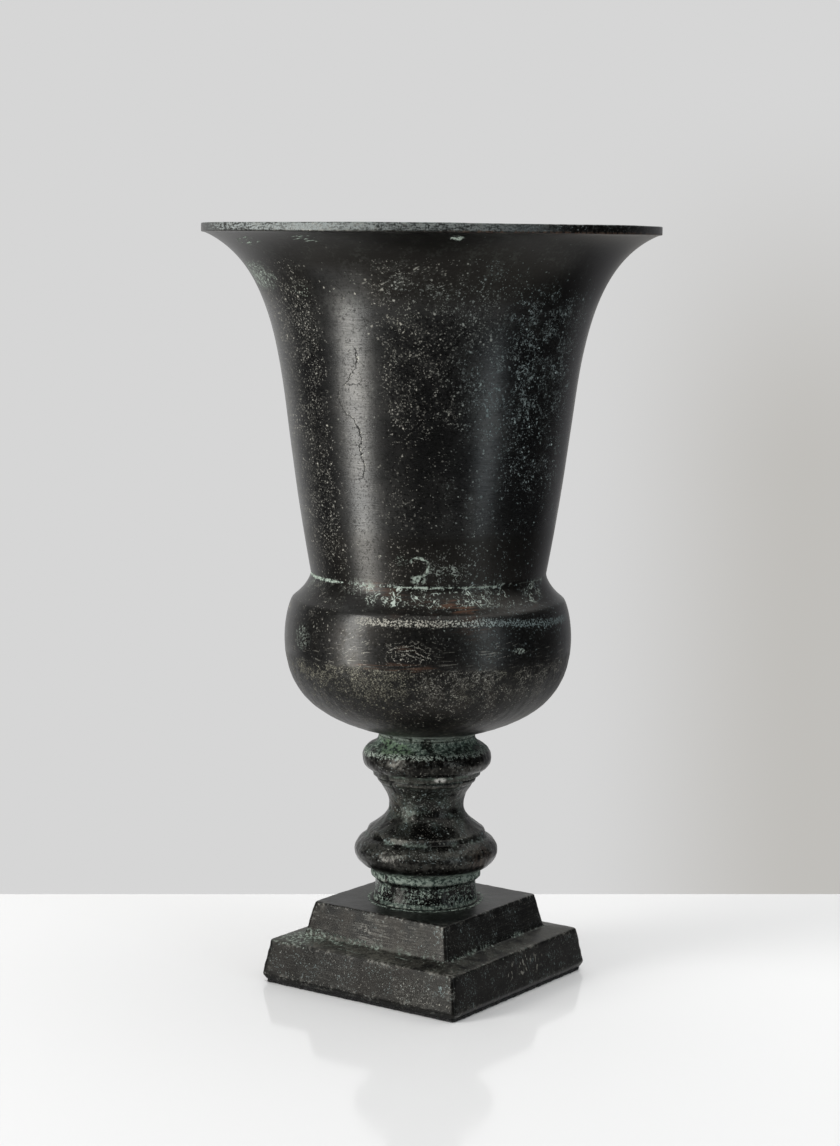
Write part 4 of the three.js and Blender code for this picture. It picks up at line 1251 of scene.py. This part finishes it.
def make_plinth(finish):
    """Plinth: its outline goes up both tiers, in over the register, and down through boss and hollow.

    Outwards of the register the outline is a square. The corner's rounding grows to the whole half
    width on the way in, so that the same grid is a circle at the register and the boss.
    """
    ceiling = PLINTH_HEIGHT - PLINTH_TOP_THICKNESS
    register_top = PLINTH_HEIGHT + REGISTER_HEIGHT
    tread_back = LOWER_HEIGHT + TREAD_RISE
    points = outline(
        (LOWER_FOOT_HALF, 0),
        (LOWER_HALF, LOWER_FOOT_RISE),
        (LOWER_TOP_HALF, LOWER_HEIGHT),
        (UPPER_FOOT_HALF, tread_back),
        (UPPER_TOP_HALF, PLINTH_HEIGHT),
        (CRUST_RADIUS, PLINTH_HEIGHT),
        (DRUM_FOOT_RADIUS, PLINTH_HEIGHT),
        (REGISTER_RADIUS, PLINTH_HEIGHT),
        (REGISTER_RADIUS, register_top),
        (BOLT_HOLE_RADIUS, register_top),
        (BOLT_HOLE_RADIUS, ceiling - BOSS_DEPTH),
        (BOSS_RADIUS, ceiling - BOSS_DEPTH),
        (BOSS_RADIUS, ceiling),
        (UPPER_TOP_HALF - PLINTH_WALL, ceiling),
        (UPPER_FOOT_HALF - PLINTH_WALL, tread_back - PLINTH_TOP_THICKNESS),
        (LOWER_TOP_HALF - PLINTH_WALL, LOWER_HEIGHT - PLINTH_TOP_THICKNESS),
        (LOWER_FOOT_HALF - PLINTH_WALL, 0),
    )
    points = softened(points, PLINTH_CORNER_REACH)
    rows = graded(points, PLINTH_LEVELS, np.ones(len(points)))
    half = points[rows][:, 0]
    squareness = np.clip((half - DRUM_FOOT_RADIUS - ROUND_REACH) / ROUND_REACH, 0, 1)
    corners = half + (PLINTH_CORNER - half) * squareness ** 0.5
    grid = square_grid(points[rows], corners, PLINTH_TURNS, PLINTH_FOOT)
    height = grid[..., 2] - PLINTH_FOOT
    _, radius = surface_turns(grid)

    # The upright corners are worn as the outline's own corners are
    marks = marks_for(points, rows)
    fold = off_flat(square_turns(PLINTH_TURNS), 4)
    off_corner = half[:, None] / np.cos(fold) * np.sin(np.pi / 4 - fold)
    outer = rows < int(lengths(points)[-1] / OUTLINE_STEP * OUTER_SHARE)
    upright = swell(off_corner, UPRIGHT_BREADTH) * (outer & (half > TIER_LEAST_HALF))[:, None]
    marks["edge"] = np.clip(marks["edge"] + upright * (1 - marks["crevice"]), 0, 1)

    push = waves(grid, *PLINTH_RIPPLES)
    push -= marks["edge"] * waves(grid, EDGE_WEAR) + upright * waves(grid, UPRIGHT_WEAR)
    on_top = np.clip((height - PLINTH_HEIGHT + 1.2) / 0.6, 0, 1) * (radius > DRUM_FOOT_RADIUS + 0.2)
    spread = np.maximum(CRUST_SPREAD + waves(grid, CRUST_BORDER), CRUST_LEAST_SPREAD)
    mound = np.clip(1 - (radius - DRUM_FOOT_RADIUS) / spread, 0, 1)
    push += on_top * mound ** 1.5 * (CRUST_HEIGHT + waves(grid, CRUST_LUMPS))
    push *= (radius > DRUM_FOOT_RADIUS - 0.5) * np.clip(height / 1.0, 0.2, 1)
    make_piece("plinth_casting", pushed(grid, push), True, finish, "plinth", marks)


def felt_fibres(half, thickness):
    """Short fibres on the pad's edge: each is a bent three-sided spike from a seeded place and way out."""
    rng = np.random.default_rng(FIBRE_SEED)
    turn = rng.uniform(0, 2 * np.pi, FIBRE_COUNT)
    level = rng.uniform(0.15, 0.9, FIBRE_COUNT) * thickness
    root = around(square_reach(turn, half, PLINTH_CORNER), turn, level)
    quarter = np.round(turn / (np.pi / 2)) * (np.pi / 2)
    out = around(1, quarter, 0)
    side = around(1, quarter + np.pi / 2, 0)
    length = FIBRE_LENGTH * rng.uniform(0.35, 1.0, (FIBRE_COUNT, 1))
    lean = rng.uniform(-1.0, 1.0, (FIBRE_COUNT, 1))
    middle = root + (out + side * lean) * length * 0.5
    tip = middle + (out * 0.6 + side * lean * 1.6) * length * 0.5
    tip[:, 2] = np.clip(tip[:, 2] + rng.uniform(-0.8, 0.4, FIBRE_COUNT), 0.05, thickness)
    root = root - out * 0.4
    third = (np.arange(3) * 2 * np.pi / 3)[:, None]
    ways = FIBRE_RADIUS * (side[:, None] * np.cos(third) + np.array([0, 0, 1.0]) * np.sin(third))
    rings = [centre[:, None] + ways * share for centre, share in ((root, 1.0), (middle, 0.8), (tip, 0.3))]
    points = np.stack(rings, 1).reshape(-1, 3)
    points[:, 2] = np.clip(points[:, 2], 0, thickness)
    base = np.arange(FIBRE_COUNT)[:, None, None] * 9 + np.arange(2)[:, None] * 3
    corner = np.arange(3)
    after = (corner + 1) % 3
    sides = np.stack([base + corner, base + after, base + 3 + after, base + 3 + corner], -1)
    return points, sides.reshape(-1, 4)


def make_pad(finish):
    """Felt pad: a square sheet with a round hole and a ragged, fibrous edge."""
    low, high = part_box("base_pad")
    thickness = (high.z - low.z) / MM
    half = LOWER_FOOT_HALF - PAD_INSET
    points = outline(
        (half, 0),
        (half, thickness),
        (PAD_ACCESS_RADIUS, thickness),
        (PAD_ACCESS_RADIUS, 0),
    )
    points = softened(points, PAD_CORNER_REACH)
    points = points[graded(points, PAD_LEVELS, np.ones(len(points)))]
    reach = points[:, 0]
    corners = reach + (PLINTH_CORNER - reach) * np.clip((reach - PAD_ACCESS_RADIUS) / PAD_ROUND_REACH, 0, 1)
    grid = square_grid(points, corners, PAD_TURNS, 0)
    rim = np.clip(1 - np.abs(grid[..., 2] / thickness - 0.5) * 2, 0, 1) ** 0.5
    grid = pushed(grid, rim * (waves(grid, *PAD_FRAY) - PAD_FRAY_SINK))
    grid[..., 2] = np.clip(grid[..., 2], 0, thickness)
    fibres = felt_fibres(half, thickness)
    make_piece("felt_pad", grid, True, finish, "base_pad", extra=fibres)


def hex_reach(turn):
    """How far a hexagon reaches at a turn: half its flats over the cosine of the turn off the flat."""
    return HEX_FLATS / 2 / np.cos(off_flat(turn, 6))


def hex_rows(low, high, turn, chamfer_low):
    """Rows of radius and height up a hexagon whose corners are turned off by a cone at one end or both."""
    corner = HEX_FLATS / 2 / math.cos(math.pi / 6)
    fall = (corner - HEX_FLATS / 2 + HEX_FACE_INSET) / HEX_CHAMFER_DROP
    rows = []
    for share in (0.0, 0.04, 0.09, 0.14, 0.5, 0.86, 0.91, 0.96, 1.0):
        height = low + (high - low) * share
        cone = corner - fall * max(0.0, HEX_CHAMFER_DROP - (high - height))
        if chamfer_low:
            cone = min(cone, corner - fall * max(0.0, HEX_CHAMFER_DROP - (height - low)))
        rows.append((np.minimum(hex_reach(turn), cone), height))
    return rows


def rows_grid(rows, turn):
    """Levels times turns from rows of radius and height, each radius a number or one for each turn."""
    return np.stack([around(reach, turn, height) for reach, height in rows])


def make_bolt(finish):
    """Bolt: a point, a rolled thread, a plain shank and a hexagonal head, as one surface from tip to top.

    The thread's radius falls and rises with the height over the pitch less the turn.
    """
    low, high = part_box("tie_bolt")
    tip, top = low.z / MM, high.z / MM
    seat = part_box("bolt_washer")[1].z / MM
    turn = full_turn(SMALL_TURNS)
    point = BOLT_RADIUS - BOLT_POINT
    rows = [(0.6, tip), (point - 0.2, tip)]
    for gone in np.linspace(0.1, THREAD_LENGTH, int(THREAD_LENGTH / THREAD_PITCH * THREAD_LEVELS)):
        level = tip + gone
        wave = np.abs(((level / THREAD_PITCH - turn / (2 * np.pi)) % 1) * 2 - 1)
        thread = BOLT_RADIUS - THREAD_DEPTH * np.clip(wave * 1.25 - 0.1, 0, 1)
        runout = np.clip((gone - THREAD_LENGTH + THREAD_RUNOUT) / THREAD_RUNOUT, 0, 1)
        rows.append((np.minimum(thread + (BOLT_RADIUS - thread) * runout, point + gone), level))
    rows += [(BOLT_RADIUS, tip + THREAD_LENGTH + 1), (BOLT_RADIUS, seat), (HEX_FLATS / 2 - 0.6, seat)]
    rows += hex_rows(seat, top, turn, False)
    rows += [(HEX_FLATS / 2 - 1.0, top), (4.0, top - 0.05), (1.0, top - 0.05)]
    make_piece("hex_bolt", rows_grid(rows, turn), False, finish, "tie_bolt", crisp=HEX_CRISP)


def make_nut(finish):
    """Nut: a hexagon with both ends chamfered and a countersunk bore."""
    low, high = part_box("tie_nut")
    foot, top = low.z / MM, high.z / MM
    turn = full_turn(SMALL_TURNS)
    bore = BOLT_RADIUS + NUT_GAP
    rows = [(bore, foot + 0.8), (bore + 0.6, foot)]
    rows += hex_rows(foot, top, turn, True)
    rows += [(bore + 0.6, top), (bore, top - 0.8)]
    make_piece("hex_nut", rows_grid(rows, turn), True, finish, "tie_nut", crisp=HEX_CRISP)


def make_washer(name, node, finish, swelling):
    """Washer: a ring whose outline is a box with eased corners, swollen outwards where it is soft."""
    low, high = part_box(node)
    radius, foot, top = high.x / MM, low.z / MM, high.z / MM
    ease = WASHER_EASE
    rows = [(BOLT_HOLE_RADIUS, foot + ease), (BOLT_HOLE_RADIUS + ease, foot), (radius - ease, foot)]
    rows += [(radius - swelling, foot + ease), (radius, (foot + top) / 2), (radius - swelling, top - ease)]
    rows += [(radius - ease, top), (BOLT_HOLE_RADIUS + ease, top), (BOLT_HOLE_RADIUS, top - ease)]
    make_piece(name, rows_grid(rows, full_turn(SMALL_TURNS)), True, finish, node, crisp=WASHER_CRISP)


def make_lock_washer(finish):
    """Split washer: a box section with eased corners, carried round the axis from one side of the slit."""
    low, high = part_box("lock_washer")
    outer, foot, top = high.x / MM, low.z / MM, high.z / MM
    inner = BOLT_HOLE_RADIUS
    gap = math.asin(LOCK_SLIT / 2 / outer)
    turn = np.linspace(gap, 2 * np.pi - gap, SMALL_TURNS)[:, None]
    ease = LOCK_EASE
    section = np.array([(inner + ease, foot), (inner, foot + ease), (inner, top - ease), (inner + ease, top),
                        (outer - ease, top), (outer, top - ease), (outer, foot + ease), (outer - ease, foot)])
    grid = around(section[:, 0], turn, section[:, 1])
    make_piece("split_washer", grid, False, finish, "lock_washer", crisp=WASHER_CRISP)


# The photograph's camera: place in metres, turns in degrees, and focal length in its 840 by 1146 pixels
CAMERA_PLACE = (0.9871, -1.4010, 0.5036)
CAMERA_YAW = -35.362
CAMERA_PITCH = -7.317
CAMERA_ROLL = 0.518
CAMERA_FOCUS = 2522.3
PHOTO_HEIGHT = 1146
SENSOR = 36.0

# Table: how far its edges lie from the urn's axis, in metres, and how far it is turned from the front
TABLE_BACK = 0.2254
TABLE_AHEAD = 0.60
TABLE_HALF = 0.58
TABLE_THICKNESS = 0.03
TABLE_TURN = math.radians(2.24)
TABLE_WHITE = (0.93, 0.93, 0.925)
# Painted shade: the table's colour darkens towards the left lamp, against the stronger light that falls there
TABLE_PAINTED_SHADE = (0.73, 0.73, 0.73)

# Room, as the light that comes from each way
WALL_PALE = (0.672, 0.672, 0.672)
WALL_SHADE = (0.527, 0.516, 0.494)
WALL_DIM = (0.26, 0.26, 0.27)
ROOM_DARK = (0.055, 0.055, 0.058)
CEILING_LEFT = (0.95, 0.95, 0.95)
CEILING_RIGHT = (1.95, 1.95, 1.95)


def aim_camera():
    """The camera looks along its yaw and pitch, and is rolled about that way."""
    yaw, pitch, roll = (math.radians(turn) for turn in (CAMERA_YAW, CAMERA_PITCH, CAMERA_ROLL))
    ahead = Vector((math.sin(yaw) * math.cos(pitch), math.cos(yaw) * math.cos(pitch), math.sin(pitch)))
    level = ahead.cross(Vector((0, 0, 1))).normalized()
    upright = level.cross(ahead)
    right = math.cos(roll) * level + math.sin(roll) * upright
    up = math.cos(roll) * upright - math.sin(roll) * level
    data = bpy.data.cameras.new("camera")
    data.sensor_width = SENSOR
    data.lens = CAMERA_FOCUS * SENSOR / PHOTO_HEIGHT
    camera = bpy.data.objects.new("camera", data)
    camera.matrix_world = Matrix.Translation(CAMERA_PLACE) @ Matrix((right, up, -ahead)).transposed().to_4x4()
    bpy.context.scene.collection.objects.link(camera)
    bpy.context.scene.camera = camera


def make_table():
    """A white glossy slab, turned a little from the urn's front. Its far edge is close behind the plinth."""
    along = math.cos(TABLE_TURN) * Vector(RIGHT) - math.sin(TABLE_TURN) * Vector(FRONT)
    toward = math.cos(TABLE_TURN) * Vector(FRONT) + math.sin(TABLE_TURN) * Vector(RIGHT)
    corners = []
    for level in (0.0, -TABLE_THICKNESS):
        for side, reach in ((-1, -TABLE_BACK), (1, -TABLE_BACK), (1, TABLE_AHEAD), (-1, TABLE_AHEAD)):
            corners.append(along * side * TABLE_HALF + toward * reach + Vector((0, 0, level)))
    faces = [(3, 2, 1, 0), (4, 5, 6, 7), (0, 1, 5, 4), (1, 2, 6, 5), (2, 3, 7, 6), (3, 0, 4, 7)]
    mesh = bpy.data.meshes.new("table")
    mesh.from_pydata(corners, [], faces)
    p = Finish("table_white")
    place = p.places()
    smudge = p.noise(place, 90, 3.0, 0.5)
    # Painted shade: the table is made darker towards the left lamp
    painted_shade_toward_lamp = p.rise_straight(p.along(place, way_at(-35)), -150, 450)
    tone = p.blend(painted_shade_toward_lamp, TABLE_WHITE, TABLE_PAINTED_SHADE)
    mesh.materials.append(p.close(relief=smudge, depth=0.02, Base_Color=tone,
                                  Roughness=0.07 + 0.05 * smudge, IOR=1.40))
    table = bpy.data.objects.new("table", mesh)
    bevel = table.modifiers.new("edge", "BEVEL")
    bevel.width = 0.002
    bevel.segments = 3
    bpy.context.scene.collection.objects.link(table)


def light_room():
    """A pale wall behind, darker to the right, a white ceiling, and a dim room in front."""
    world = bpy.data.worlds.new("room")
    world.use_nodes = True
    bpy.context.scene.world = world
    room = Finish("room", world.node_tree)
    way = room.add("TexCoord").outputs["Generated"]
    right = room.along(way, RIGHT)
    up = room.along(way, (0, 0, 1))
    colour = room.blend(room.rise(right, 0.05, 0.15) * room.rise(up, 0.07, -0.09), WALL_PALE, WALL_SHADE)
    colour = room.blend(room.rise(right, 0.16, 0.45), colour, WALL_DIM)
    colour = room.blend(room.rise(room.along(way, FRONT), -0.74, -0.34), colour, ROOM_DARK)
    ceiling = room.blend(room.rise(right, -0.5, 0.5), CEILING_LEFT, CEILING_RIGHT)
    colour = room.blend(room.rise(up, 0.48, 0.80), colour, ceiling)
    light = room.add("Background", Color=colour, Strength=1.0)
    room.add("OutputWorld", Surface=light.outputs[0])


def hang_lamp(name, turn, distance, height, wide, tall, watts, colour):
    """An upright soft box that faces the urn's axis. Its place and size are in metres."""
    angle = math.radians(turn)
    way = math.sin(angle) * Vector(RIGHT) + math.cos(angle) * Vector(FRONT)
    data = bpy.data.lights.new(name, "AREA")
    data.shape = "RECTANGLE"
    data.size = wide
    data.size_y = tall
    data.energy = watts
    data.color = colour
    lamp = bpy.data.objects.new(name, data)
    place = way * distance + Vector((0, 0, height))
    lamp.matrix_world = Matrix.Translation(place) @ (-way).to_track_quat("-Z", "Y").to_matrix().to_4x4()
    lamp.visible_camera = False
    bpy.context.scene.collection.objects.link(lamp)


aim_camera()
make_bowl(bowl_finish())
make_stem(stem_finish())
make_plinth(plinth_finish())
make_pad(felt_finish())
make_bolt(steel_finish("bolt_steel", *BOLT_STEEL))
make_nut(steel_finish("nut_steel", *NUT_STEEL))
washer_steel = steel_finish("washer_steel", *WASHER_STEEL)
make_washer("washer_under_head", "bolt_washer", washer_steel, 0.0)
make_washer("plate_washer", "plinth_washer", washer_steel, 0.0)
make_washer("rubber_seal", "bolt_seal", rubber_finish(), 0.5)
make_lock_washer(steel_finish("spring_steel", *SPRING_STEEL))

make_table()
light_room()
hang_lamp("left_box", turn=-60, distance=1.6, height=0.35, wide=0.46, tall=2.3, watts=44,
          colour=(1.0, 0.995, 0.985))
hang_lamp("right_box", turn=47, distance=1.9, height=0.45, wide=0.50, tall=1.7, watts=7,
          colour=(0.84, 0.93, 1.0))

bpy.context.scene.view_settings.view_transform = "Standard"
